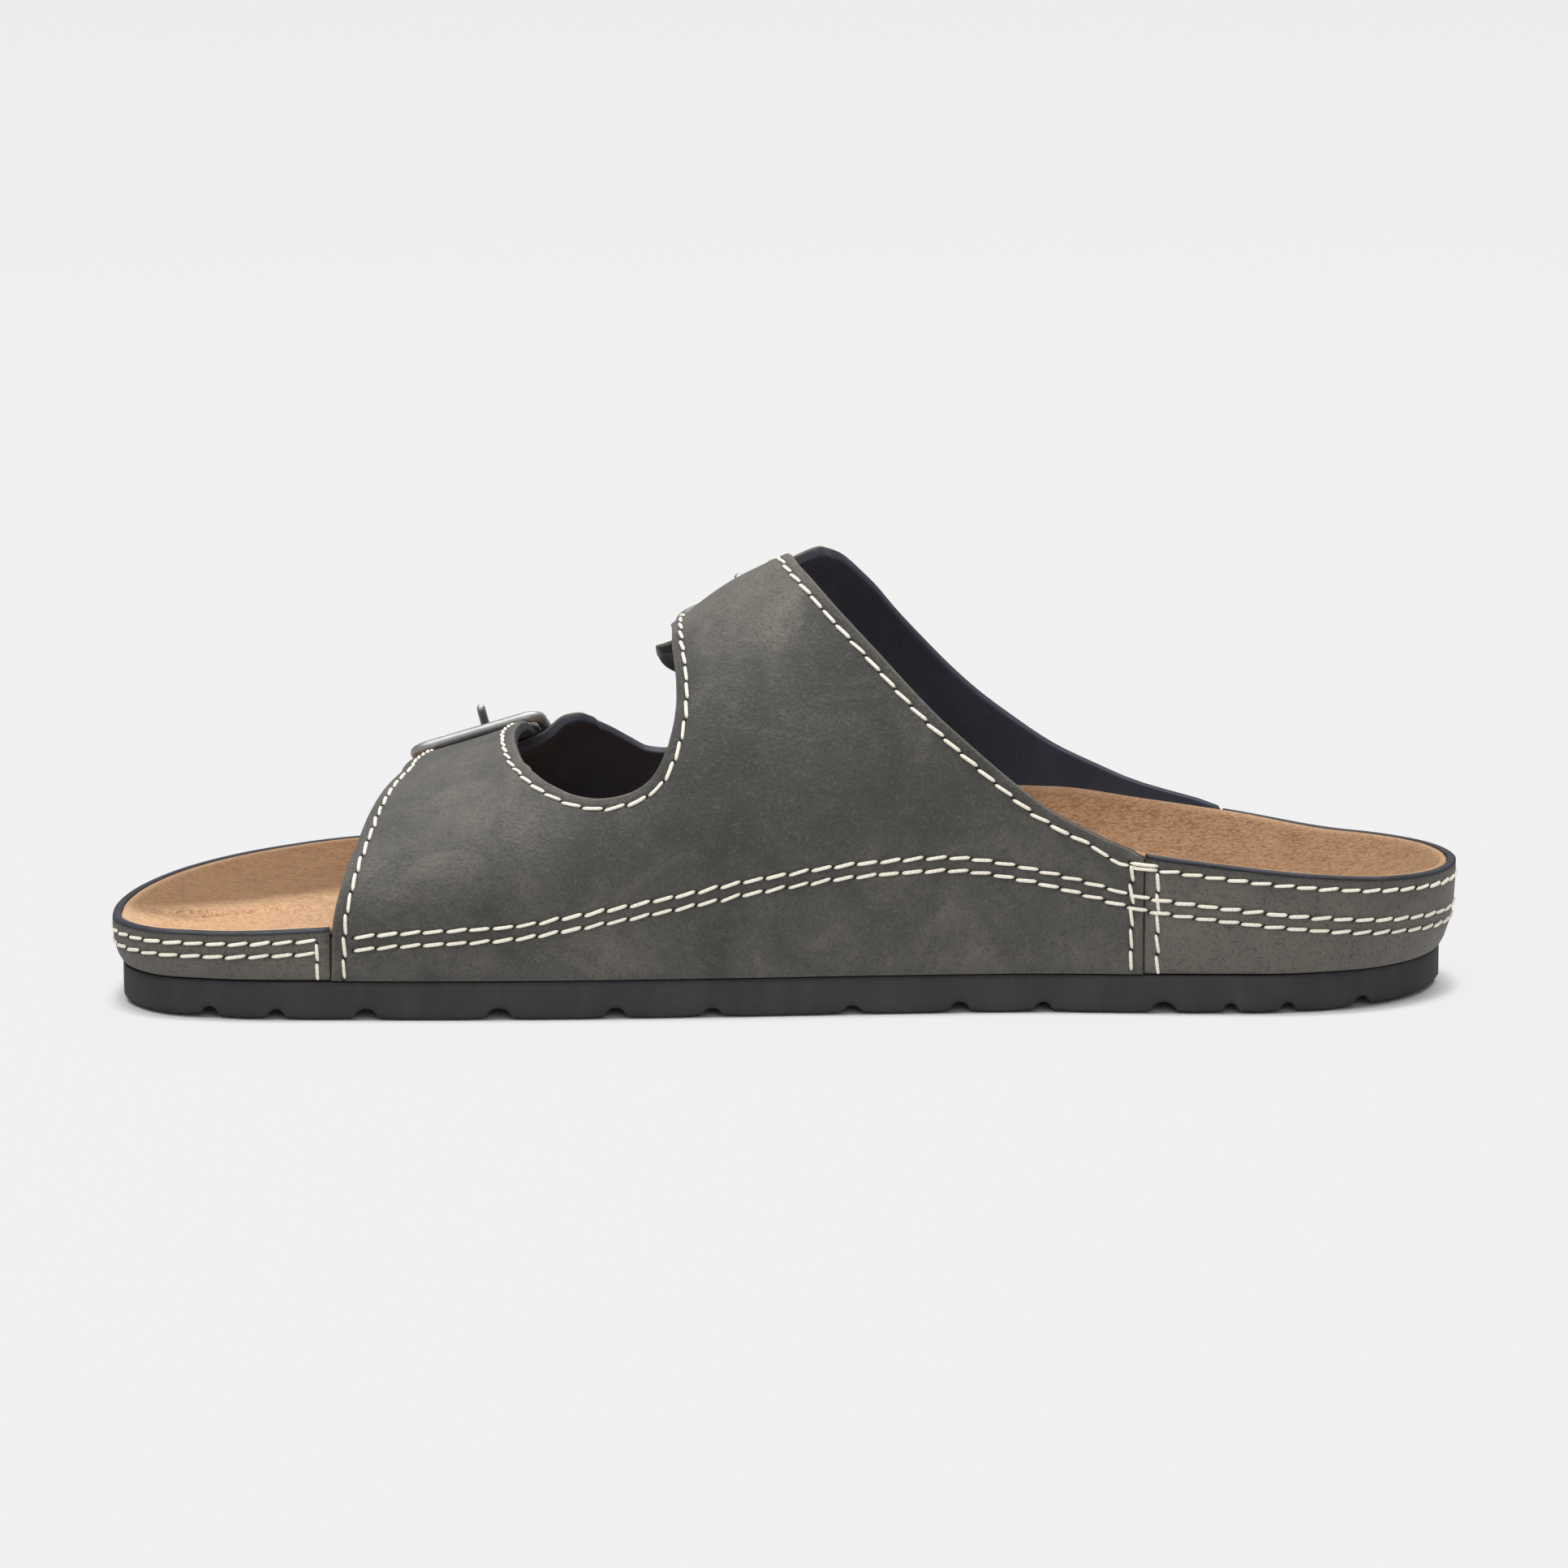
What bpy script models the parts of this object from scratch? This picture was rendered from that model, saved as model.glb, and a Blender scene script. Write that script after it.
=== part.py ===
"""Cork footbed sandal with two buckled straps, for the right foot.

Sizes are in millimetres and `build` turns them into metres. X runs from toe (-) to heel (+), the inner
(medial) side of the foot is -Y, the outer (lateral) side is +Y, and Z is up from the floor.
"""

import math
from collections import namedtuple

import bpy
import numpy as np

MM = 0.001
GAP = 0.3
SOLE_TOP = 8.2
WRAP_BASE = SOLE_TOP + GAP
WALL = 2.4
LINER = 1.5
RIM_LIP = 0.8
SEAM = 0.4

STRAP_WIDTH = 24.6
STRAP_ROUND = 6.0
FOLD_WIDTH = 19.0
FOLD_SLOT = 4.6
FOLD_THICK = 1.1
FOLD_SEAT = 0.55
EYE_GAP = 0.25
FRAME_DEPTH = 17.0
BAR_RADIUS = 1.2
PIVOT_RADIUS = 1.15
BAR_LIFT = GAP + 0.05 + BAR_RADIUS
FRAME_CORNER = 3.4
PRONG_RADIUS = 0.8
PRONG_EYE_RADIUS = 0.65
CUTTER_LENGTH = 130.0
SOLE_WIDTH = 105.0
TONGUE_SINK = 3.0
TONGUE_ROUND = 8.0
SINK_FROM = 0.18
SINK_TO = 0.40

# Plan outline at the widest height, from the toe tip round the medial side to the heel and back: x, y
OUTLINE = (
    (-140.4, -27.0), (-138.6, -39.5), (-131.5, -48.3), (-119.0, -52.2), (-90.0, -53.3),
    (-50.0, -52.9), (-10.0, -50.2), (25.0, -47.2), (55.0, -45.6), (85.0, -47.2),
    (108.0, -47.0), (124.0, -41.5), (135.2, -30.0), (140.4, -13.0), (136.5, 3.0),
    (126.0, 14.5), (110.0, 22.3), (88.0, 28.2), (55.0, 34.0), (20.0, 40.5),
    (-20.0, 47.8), (-55.0, 52.8), (-80.0, 53.2), (-100.0, 48.6), (-116.0, 37.2),
    (-128.0, 20.8), (-135.4, 3.5), (-139.4, -13.0),
)

# One row a section: rim heights on both sides, how far the wrap tucks in at its foot, and the arch of the
# upper over it, as the height and place of its crown and the exponent of its curve
Section = namedtuple("Section", "x rim_medial rim_lateral tuck crown_y crown_z fullness")
SECTIONS = (
    Section(-141, 18.8, 18.8, 2.4, -4, 25.0, 2.10),
    Section(-120, 18.8, 18.6, 1.5, -4, 30.0, 2.10),
    Section(-93, 19.8, 19.3, 0.8, -5, 39.5, 2.10),
    Section(-77, 21.4, 20.4, 0.6, -5, 45.2, 2.10),
    Section(-60, 23.5, 21.8, 0.6, -6, 51.1, 2.10),
    Section(-40, 27.0, 24.5, 0.6, -8, 62.5, 2.00),
    Section(-23, 30.3, 27.0, 0.6, -9, 76.0, 1.90),
    Section(-11, 32.8, 28.8, 0.6, -10, 84.5, 1.85),
    Section(1, 35.0, 30.3, 0.6, -11, 91.3, 1.80),
    Section(15, 37.2, 32.2, 0.6, -12, 99.0, 1.75),
    Section(35, 38.5, 34.0, 0.6, -12, 109.0, 1.70),
    Section(58, 37.0, 34.0, 0.6, -13, 119.0, 1.70),
    Section(77, 33.5, 32.0, 0.8, -13, 125.0, 1.70),
    Section(95, 31.2, 30.0, 1.2, -13, 128.0, 1.70),
    Section(123, 28.3, 27.0, 2.4, -13, 130.0, 1.70),
    Section(141, 27.0, 27.0, 3.2, -13, 130.0, 1.70),
)

# Footbed: height of its floor, and how wide the slope down from the rim is on each side
Bed = namedtuple("Bed", "x floor slope_medial slope_lateral")
BED = (
    Bed(-141, 14.8, 19, 19),
    Bed(-105, 14.2, 18, 18),
    Bed(-85, 15.4, 16, 16),
    Bed(-65, 14.4, 16, 16),
    Bed(-35, 16.4, 24, 18),
    Bed(-5, 18.8, 32, 22),
    Bed(25, 19.4, 36, 24),
    Bed(55, 18.0, 34, 26),
    Bed(90, 16.6, 28, 26),
    Bed(141, 16.8, 26, 26),
)

# Underside of the outsole above the floor: toe spring, two flat treads, heel spring: x, z
TREAD = ((-141, 1.6), (-132, 0.7), (-116, 0.25), (-98, 0.0), (96, 0.0), (118, 0.2), (132, 0.7), (141, 1.6))

# Grooves across the tread: middle, half width, depth, and how far the lateral end lies towards the heel
Groove = namedtuple("Groove", "x half_width depth skew")
GROOVES = (
    Groove(-119, 3.0, 2.0, 8), Groove(-105, 3.0, 2.0, 9), Groove(-86.5, 4.0, 2.2, 10),
    Groove(-59, 4.3, 2.3, 10), Groove(-35, 3.6, 2.2, 8), Groove(-15, 3.2, 1.8, 5),
    Groove(14, 3.2, 1.8, 2), Groove(36.5, 3.4, 2.2, 0), Groove(54, 3.0, 2.0, -2),
    Groove(79, 4.3, 2.3, -4), Groove(93, 2.8, 2.0, -5), Groove(105, 2.8, 2.0, -6),
    Groove(121, 3.2, 2.0, -6),
)

# Edges of the upper's two halves: share of the way from the sole (0) to the crown (1), and x there
MEDIAL_FRONT = ((0, -93.4), (0.16, -93.0), (0.45, -90.6), (0.57, -88.8), (0.73, -86.8), (0.90, -83.9),
                (1.0, -81.2))
MEDIAL_NOTCH_FRONT = ((0, -56.0), (0.66, -52.0), (0.72, -53.4), (0.86, -55.0), (1.0, -56.0))
MEDIAL_NOTCH_REAR = ((0, -26.0), (0.554, -23.6), (0.61, -22.5), (0.69, -22.0), (0.84, -23.4), (1.0, -24.0))
MEDIAL_REAR = ((0, 74.4), (0.15, 74.4), (0.175, 74.0), (0.193, 72.5), (0.233, 64.3), (0.275, 55.9),
               (0.332, 47.5), (0.396, 39.1), (0.465, 30.8), (0.55, 22.4), (0.652, 14.1), (0.717, 9.9),
               (0.80, 5.9), (0.90, 2.6), (1.0, 1.2))
LATERAL_FRONT = ((0, -88.5), (0.16, -88.2), (0.35, -86.5), (0.50, -84.0), (0.70, -82.0))
LATERAL_NOTCH_FRONT = ((0, -46.0), (0.54, -41.0), (0.60, -43.0), (0.66, -44.0), (0.72, -45.0))
LATERAL_NOTCH_REAR = ((0, -14.0), (0.44, -16.8), (0.55, -18.5), (0.65, -23.0), (0.75, -26.6),
                      (0.84, -28.4), (0.93, -28.6))
LATERAL_REAR = ((0, 95.0), (0.14, 95.0), (0.162, 94.4), (0.17, 92.5), (0.183, 85.1), (0.203, 76.4),
                (0.234, 67.6), (0.27, 58.8), (0.32, 50.0), (0.38, 41.2), (0.457, 32.5), (0.555, 23.8),
                (0.616, 19.8), (0.68, 15.9), (0.764, 11.8), (0.84, 8.3), (0.93, 5.8))

# Foot of the notch between the two straps: x, and the share there
MEDIAL_NOTCH = ((-52.0, 0.66), (-48.9, 0.611), (-44.6, 0.55), (-40.3, 0.510), (-36.0, 0.488),
                (-31.9, 0.478), (-27.8, 0.487), (-25.0, 0.520), (-23.6, 0.554))
LATERAL_NOTCH = ((-41.0, 0.54), (-38.2, 0.488), (-33.9, 0.417), (-29.5, 0.363), (-24.5, 0.343),
                 (-20.0, 0.355), (-17.8, 0.39), (-16.8, 0.44))

# Height of a strap's outer face above the form, against the distance past its buckle's pivot, where the
# tongue below it lies at its full depth
STRAP_LIFT = ((-40, 0), (-10, 0), (-7.6, 1.2), (-5, 4.1), (-2.2, 5.85), (0, 6.1), (2.5, 5.8), (5, 4.5),
              (8, 3.5), (13.5, 3.3), (16, 2.4), (19, 0.7), (22, 0.1), (60, 0.05))

# Each strap's middle and girth at its buckle's pivot, how far past that it ends, the share where the tongue
# under it ends, how far the prong's tip leans towards the heel and how high it stands over the outer bar
Strap = namedtuple("Strap", "name x pivot tail tongue_top prong_lean prong_rise")
FRONT_STRAP = Strap("front", -63.6, 1.50, 18.0, 0.69, 2.6, 2.5)
REAR_STRAP = Strap("rear", -4.8, 1.42, 29.0, 0.93, 1.8, 0.4)

# Names, colours (linear), roughness and metallic of the materials
Finish = namedtuple("Finish", "colour roughness metallic")
LEATHER = Finish((0.125, 0.127, 0.112), 0.75, 0.0)
SUEDE = Finish((0.53, 0.34, 0.17), 0.95, 0.0)
CORK = Finish((0.42, 0.26, 0.13), 0.9, 0.0)
RUBBER = Finish((0.038, 0.036, 0.040), 0.7, 0.0)
GUNMETAL = Finish((0.10, 0.10, 0.11), 0.38, 0.9)


def curve(x, rows, column=1):
    """Smooth curve through the rows of a table, read against its first column, that never overshoots them."""
    xs = np.array([row[0] for row in rows], float)
    ys = np.array([row[column] for row in rows], float)
    step = np.diff(xs)
    rate = np.diff(ys) / step
    before, after = rate[:-1], rate[1:]
    near, far = 2 * step[1:] + step[:-1], step[1:] + 2 * step[:-1]
    same = before * after > 0
    safe = np.where(same, near * after + far * before, 1)
    middle = np.where(same, (near + far) * before * after / safe, 0)
    slope = np.concatenate([rate[:1], middle, rate[-1:]])
    x = np.clip(np.asarray(x, float), xs[0], xs[-1])
    i = np.clip(np.searchsorted(xs, x, side="right") - 1, 0, len(step) - 1)
    t = (x - xs[i]) / step[i]
    start = (1 + 2 * t) * (1 - t) ** 2 * ys[i] + t * (1 - t) ** 2 * step[i] * slope[i]
    return start + t * t * (3 - 2 * t) * ys[i + 1] + t * t * (t - 1) * step[i] * slope[i + 1]


def section(x, name):
    return curve(x, SECTIONS, Section._fields.index(name))


def bed(x, name):
    return curve(x, BED, Bed._fields.index(name))


def smooth_step(x):
    x = np.clip(x, 0, 1)
    return x * x * (3 - 2 * x)


def dense_outline(steps=24):
    """The plan outline as a smooth closed curve that starts at the toe tip."""
    points = np.array(OUTLINE)
    before, after = np.roll(points, 1, 0), np.roll(points, -1, 0)
    reach_in = np.linalg.norm(points - before, axis=1)[:, None]
    reach_out = np.linalg.norm(after - points, axis=1)[:, None]
    slope = (points - before) / reach_in * reach_out + (after - points) / reach_out * reach_in
    slope /= reach_in + reach_out
    start, end = (slope * reach_out)[:, None], (np.roll(slope, -1, 0) * reach_out)[:, None]
    t = (np.arange(steps) / steps)[None, :, None]
    line = (1 + 2 * t) * (1 - t) ** 2 * points[:, None] + t * (1 - t) ** 2 * start
    line = line + t * t * (3 - 2 * t) * after[:, None] + t * t * (t - 1) * end
    line = line.reshape(-1, 2)
    return np.roll(line, -line[:, 0].argmin(), 0)


DENSE = dense_outline()
HEEL_INDEX = int(DENSE[:, 0].argmax())
MEDIAL_SIDE = DENSE[: HEEL_INDEX + 1]
LATERAL_SIDE = np.vstack([DENSE[HEEL_INDEX:], DENSE[:1]])[::-1]


def evenly(line, count):
    """Points along a line, closer together where it turns."""
    step = np.diff(line, axis=0)
    length = np.linalg.norm(step, axis=1)
    heading = np.unwrap(np.arctan2(step[:, 1], step[:, 0]))
    turn = np.abs(np.diff(heading, prepend=heading[0]))
    measure = np.concatenate([[0], np.cumsum(length / length.sum() + turn / turn.sum())])
    wanted = np.linspace(0, measure[-1], count)
    return np.stack([np.interp(wanted, measure, line[:, k]) for k in (0, 1)], 1)


def side_y(x, lateral):
    """Where the plan outline lies at x, on one side of the foot."""
    medial_y = np.interp(x, *MEDIAL_SIDE.T)
    return np.where(lateral, np.interp(x, *LATERAL_SIDE.T), medial_y)


def rim(x, lateral):
    return np.where(lateral, section(x, "rim_lateral"), section(x, "rim_medial"))


def tuck(x, z, lateral):
    """How far the wrap's outer face lies inside the plan outline at height z."""
    top = rim(x, lateral)
    return section(x, "tuck") * np.clip((top - z) / (top - WRAP_BASE), 0, 1) ** 2


def bare_skin(x, girth):
    """Outer face of the upper. Girth is 0 at the medial sole, 1 at the crown and 2 at the lateral sole.

    A wall stands on the sole up to the footbed's rim, and a superellipse arches from there to the crown.
    """
    x, girth = np.broadcast_arrays(np.asarray(x, float), np.asarray(girth, float))
    lateral = girth > 1
    share = np.where(lateral, 2 - girth, girth)
    top, edge = rim(x, lateral), side_y(x, lateral)
    wall, rise = top - WRAP_BASE, section(x, "crown_z") - top
    half = edge - section(x, "crown_y")
    arch = math.pi / 2 * np.sqrt((half**2 + rise**2) / 2)
    foot = wall / (wall + arch)
    wall_z = WRAP_BASE + np.clip(share / foot, 0, 1) * wall
    wall_y = edge - np.sign(half) * tuck(x, wall_z, lateral)
    angle = np.clip((share - foot) / (1 - foot), 0, 1) * math.pi / 2
    power = 2 / section(x, "fullness")
    arch_y = section(x, "crown_y") + half * np.maximum(np.cos(angle), 0) ** power
    arch_z = top + rise * np.sin(angle) ** power
    above = share > foot
    return np.stack([x, np.where(above, arch_y, wall_y), np.where(above, arch_z, wall_z)], -1)


def unit(vector):
    return vector / np.linalg.norm(vector, axis=-1, keepdims=True)


def along(x, girth, step=0.6):
    """Direction and rate of the form along x."""
    return (bare_skin(x + step, girth) - bare_skin(x - step, girth)) / (2 * step)


def around(x, girth, step=0.006):
    """Direction and rate of the form along the girth."""
    return (bare_skin(x, girth + step) - bare_skin(x, girth - step)) / (2 * step)


def skin(x, girth, lift=0.0):
    x, girth = np.asarray(x, float), np.asarray(girth, float)
    inside = np.clip(girth, 0.006, 1.994)
    out = unit(np.cross(along(x, inside), around(x, inside)))
    return bare_skin(x, girth) + out * np.asarray(lift, float)[..., None]


LINE_FROM, LINE_TO = 0.9, 1.9


class Buckle:
    """Place of one buckle on the lateral side, and the strap that runs through it."""

    def __init__(self, strap):
        self.strap = strap
        x = strap.x
        self.middle = self.square_line(x, strap.pivot)
        self.rate = float(np.linalg.norm(around(x, strap.pivot)))
        self.pivot_lift = FOLD_SEAT + FOLD_THICK + EYE_GAP + PIVOT_RADIUS - TONGUE_SINK
        self.pivot, self.across, self.down, self.out = self.axes(0.0, self.pivot_lift)
        self.bar, self.bar_across, self.bar_down, self.bar_out = self.axes(-FRAME_DEPTH, BAR_LIFT)

    @staticmethod
    def square_line(x, girth, step=0.01):
        """Rows of girth and x along the line over the form that runs square to the buckle's pivot."""
        rows = [(girth, x)]
        for way in (-step, step):
            here, at = x, girth
            while LINE_FROM < at + way < LINE_TO:
                ahead, turn = along(here, at), around(here, at)
                here -= way * float(ahead @ turn) / float(ahead @ ahead)
                at += way
                rows.append((at, here))
        return sorted(rows)

    def axes(self, past, lift):
        """A point on the strap's middle line, and the directions across it, down it and outwards there."""
        girth = float(self.girth(past))
        x = float(curve(girth, self.middle))
        across, down = unit(along(x, girth)), unit(around(x, girth))
        down = unit(down - across * (across @ down))
        return self.on_form(0.0, past, lift), across, down, np.cross(across, down)

    def girth(self, past):
        return self.strap.pivot + np.asarray(past, float) / self.rate

    def on_form(self, wide, past, lift):
        """A point given by its place across the strap, its distance past the pivot and its lift."""
        girth = self.girth(past)
        middle = curve(girth, self.middle)
        spread = np.linalg.norm(along(middle, girth), axis=-1)
        return skin(middle + wide / spread, girth, lift)

    def place(self, wide, past, lift):
        """The same, but straight across the strap close to the pivot bar and under the outer bar."""
        wide, past, lift = (v[..., None] for v in np.broadcast_arrays(wide, past, lift))
        at_pivot = self.pivot + wide * self.across + past * self.down + (lift - self.pivot_lift) * self.out
        beyond = past + FRAME_DEPTH
        at_bar = self.bar + wide * self.bar_across + beyond * self.bar_down + (lift - BAR_LIFT) * self.bar_out
        near_pivot = 1 - smooth_step((np.abs(past) - 4) / 7)
        near_bar = 1 - smooth_step((np.abs(beyond) - 2.5) / 6.5)
        form = self.on_form(wide[..., 0], past[..., 0], lift[..., 0])
        return at_pivot * near_pivot + at_bar * near_bar + form * (1 - near_pivot - near_bar)


def material(name, finish):
    made = bpy.data.materials.new(name)
    made.use_nodes = True
    shader = made.node_tree.nodes["Principled BSDF"]
    shader.inputs["Base Color"].default_value = (*finish.colour, 1.0)
    shader.inputs["Roughness"].default_value = finish.roughness
    shader.inputs["Metallic"].default_value = finish.metallic
    made.diffuse_color = (*finish.colour, 1.0)
    return made


def build(name, points, faces, finish):
    """One closed mesh object in the sandal's collection, from points in millimetres."""
    mesh = bpy.data.meshes.new(name)
    mesh.from_pydata((np.asarray(points) * MM).tolist(), [], [list(map(int, f)) for f in faces])
    mesh.validate()
    mesh.materials.append(finish)
    mesh.polygons.foreach_set("use_smooth", [True] * len(mesh.polygons))
    made = bpy.data.objects.new(name, mesh)
    bpy.data.collections["cork_footbed_sandal"].objects.link(made)
    return made


def shell(name, outer, inner, keep, finish):
    """A closed wall between two grids of points, with only the cells that are kept."""
    number = np.arange(outer.shape[0] * outer.shape[1]).reshape(outer.shape[:2])
    faces = []
    padded = np.pad(keep, 1)
    for j, i in np.argwhere(keep):
        a, b, c, d = number[j, i], number[j, i + 1], number[j + 1, i + 1], number[j + 1, i]
        faces.append((a, b, c, d))
        faces.append(tuple(v + number.size for v in (d, c, b, a)))
        beside = ((a, b, padded[j, i + 1]), (b, c, padded[j + 1, i + 2]),
                  (c, d, padded[j + 2, i + 1]), (d, a, padded[j + 1, i]))
        for start, end, joined in beside:
            if not joined:
                faces.append((end, start, start + number.size, end + number.size))
    points = np.vstack([outer.reshape(-1, 3), inner.reshape(-1, 3)])
    used = np.unique(np.concatenate([np.array(f) for f in faces]))
    renumber = np.zeros(len(points), int)
    renumber[used] = np.arange(len(used))
    return build(name, points[used], [tuple(renumber[list(f)]) for f in faces], finish)


HALF_COUNT = 34
LOOP = np.vstack([evenly(MEDIAL_SIDE, HALF_COUNT + 1)[:-1],
                  evenly(LATERAL_SIDE[::-1], HALF_COUNT + 1)[:-1]])
LOOP_LATERAL = np.arange(2 * HALF_COUNT) > HALF_COUNT
SPINE_ENDS = (-96.0, 100.0)
SQUARE_WITHIN = 6.0


def spine():
    """The middle line that the rings of the sole close on, and each loop point's place on it."""
    partner = (2 * HALF_COUNT - np.arange(2 * HALF_COUNT)) % (2 * HALF_COUNT)
    middle = (LOOP + LOOP[partner]) / 2
    rank = np.minimum(np.arange(2 * HALF_COUNT), partner)
    first = int(np.argmax(middle[: HALF_COUNT + 1, 0] > SPINE_ENDS[0]))
    last = int(np.argmax(middle[: HALF_COUNT + 1, 0] > SPINE_ENDS[1])) - 1
    return middle[first : last + 1], np.clip(rank, first, last) - first


SPINE, SPINE_OF = spine()


def ring(inset):
    """The loop moved inwards, towards its own point of the middle line. Close to it, inset is square to it."""
    inset = np.broadcast_to(np.asarray(inset, float), len(LOOP))
    ahead = unit(np.roll(LOOP, -1, 0) - np.roll(LOOP, 1, 0))
    toward = unit(SPINE[SPINE_OF] - LOOP)
    square = np.abs(ahead[:, 0] * toward[:, 1] - ahead[:, 1] * toward[:, 0])
    near = np.minimum(inset, SQUARE_WITHIN)
    return LOOP + toward * (near / square + inset - near)[:, None]


def level(points, z):
    return np.column_stack([points, np.broadcast_to(z, len(points))])


def stack(name, rings, floor_line, roof_line, finish):
    """A closed solid from rings listed bottom to top, its two ends closed on lines down the middle."""
    count = 2 * HALF_COUNT
    points = np.vstack([*rings, floor_line, roof_line])
    floor_start = len(rings) * count
    roof_start = floor_start + len(floor_line)
    narrows = np.diff([np.ptp(np.asarray(row)[:, 0]) for row in rings]) < 0
    faces = []
    for i in range(count):
        k = (i + 1) % count
        for low in range(0, floor_start - count, count):
            quad = (low + i, low + k, low + count + k, low + count + i)
            faces.append(quad if narrows[low // count] else (quad[3], *quad[:3]))
        top = (len(rings) - 1) * count
        roof = (roof_start + SPINE_OF[k], roof_start + SPINE_OF[i])
        floor = (floor_start + SPINE_OF[i], floor_start + SPINE_OF[k])
        faces.append(tuple(dict.fromkeys((top + i, top + k, *roof))))
        faces.append(tuple(dict.fromkeys((i, *floor, k))))
    return build(name, points, faces, finish)


def bed_height(points, inset):
    """Height of the footbed's face, by how far it lies inside the outline."""
    x = points[:, 0]
    width = np.where(LOOP_LATERAL, bed(x, "slope_lateral"), bed(x, "slope_medial"))
    rise = rim(LOOP[:, 0], LOOP_LATERAL) - RIM_LIP - bed(x, "floor")
    reach = np.clip(1 - (np.asarray(inset) - BED_EDGE) / width, 0, 1)
    return bed(x, "floor") + rise * reach**1.7


BED_EDGE = WALL + GAP + 0.15
BED_RINGS = (BED_EDGE, 4.6, 8.0, 12.5, 18.0, 25.0)


def bed_surface(lower, edge=BED_RINGS[0]):
    """The footbed's face as rings and a middle line, lowered by some thickness."""
    insets = (edge, *BED_RINGS[1:])
    rings = [level(ring(d), bed_height(ring(d), d) - lower) for d in insets]
    return rings, level(SPINE, bed(SPINE[:, 0], "floor") - lower)


def add_liner(finish):
    top, top_line = bed_surface(0.0)
    bottom, bottom_line = bed_surface(LINER)
    return stack("footbed_liner", bottom[::-1] + top, bottom_line, top_line, finish)


def add_cork(finish):
    foot = WRAP_BASE
    edge = BED_EDGE + 0.05
    top, top_line = bed_surface(LINER + GAP, edge)
    side = []
    height = top[0][:, 2]
    for share in (0.0, 0.6):
        z = foot + (height - foot) * share
        side.append(level(ring(edge + tuck(LOOP[:, 0], z, LOOP_LATERAL)), z))
    return stack("footbed_cork", side + top, level(SPINE, foot), top_line, finish)


def cutter(name, groove):
    """A long flattened cylinder that lies across the tread and presses one groove into it."""
    bpy.ops.mesh.primitive_cylinder_add(vertices=16, radius=1.0, depth=CUTTER_LENGTH * MM, end_fill_type="NGON")
    made = bpy.context.object
    made.name = name
    made.rotation_euler = (math.pi / 2, 0, math.atan2(-groove.skew, SOLE_WIDTH))
    made.scale = (groove.half_width * MM, groove.depth * MM, 1)
    made.location = ((groove.x + groove.skew / 2) * MM, 0, float(curve(groove.x, TREAD)) * MM)
    made.hide_render = True
    made.display_type = "WIRE"
    for holder in made.users_collection:
        holder.objects.unlink(made)
    bpy.data.collections["cutters"].objects.link(made)
    return made


def add_outsole(finish):
    foot_inset = tuck(LOOP[:, 0], WRAP_BASE, LOOP_LATERAL) + 0.3
    under = curve(LOOP[:, 0], TREAD)
    rings = [
        level(ring(14.0), curve(ring(14.0)[:, 0], TREAD)),
        level(ring(foot_inset + 1.9), under),
        level(ring(foot_inset + 0.6), under + 0.5),
        level(ring(foot_inset + 0.1), under + 1.6),
        level(ring(foot_inset), SOLE_TOP - 0.5),
        level(ring(foot_inset + 0.4), SOLE_TOP),
    ]
    sole = stack("outsole", rings, level(SPINE, curve(SPINE[:, 0], TREAD)), level(SPINE, SOLE_TOP), finish)
    for index, groove in enumerate(GROOVES):
        cut = sole.modifiers.new(f"groove_{index + 1}", "BOOLEAN")
        cut.operation = "DIFFERENCE"
        cut.solver = "EXACT"
        cut.object = cutter(f"groove_cutter_{index + 1}", groove)
    return sole


def band_profile(x, lateral):
    """Closed section of a wrap band: (inset, height) from its outer foot up, over the rim and down inside."""
    top = float(rim(x, lateral))
    wall = top - WRAP_BASE
    rows = [(0.9, 0.0), (0.15, 0.8), (0.0, 2.2), (0.0, wall * 0.5), (0.0, wall - 1.2), (0.35, wall - 0.3),
            (1.1, wall), (WALL - 0.5, wall), (WALL, wall - 0.5), (WALL, wall * 0.5), (WALL, 0.0)]
    insets = np.array([row[0] for row in rows])
    heights = WRAP_BASE + np.array([row[1] for row in rows])
    return insets + tuck(x, heights, lateral), heights


def add_band(name, line, lateral, finish):
    """A leather band swept along a stretch of the outline."""
    path = unit(np.gradient(line, axis=0))
    inward = np.stack([-path[:, 1], path[:, 0]], 1)
    rings = []
    for point, normal, side in zip(line, inward, lateral):
        insets, heights = band_profile(point[0], side)
        rings.append(np.column_stack([point + insets[:, None] * normal, heights]))
    rings = np.array(rings)
    count = rings.shape[1]
    faces = [tuple(range(count)), tuple(range(rings.size // 3 - 1, rings.size // 3 - 1 - count, -1))]
    for j in range(len(rings) - 1):
        for i in range(count):
            k = (i + 1) % count
            faces.append((j * count + k, j * count + i, (j + 1) * count + i, (j + 1) * count + k))
    return build(name, rings.reshape(-1, 3), faces, finish)


def stretch(medial_x, lateral_x, heel, count):
    """The outline's points between a medial and a lateral seam, round the toe or the heel."""
    if heel:
        first, second = MEDIAL_SIDE[MEDIAL_SIDE[:, 0] > medial_x], LATERAL_SIDE[LATERAL_SIDE[:, 0] > lateral_x]
        start, end = (medial_x, float(side_y(medial_x, False))), (lateral_x, float(side_y(lateral_x, True)))
        line = np.vstack([start, first, second[::-1][1:], end])
    else:
        first, second = LATERAL_SIDE[LATERAL_SIDE[:, 0] < lateral_x], MEDIAL_SIDE[MEDIAL_SIDE[:, 0] < medial_x]
        start, end = (lateral_x, float(side_y(lateral_x, True))), (medial_x, float(side_y(medial_x, False)))
        line = np.vstack([start, first[::-1], second[1:], end])
    line = evenly(line, count)
    tip = line[:, 0].argmax() if heel else line[:, 0].argmin()
    lateral = np.arange(count) > tip if heel else np.arange(count) < tip
    return line, lateral


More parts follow.
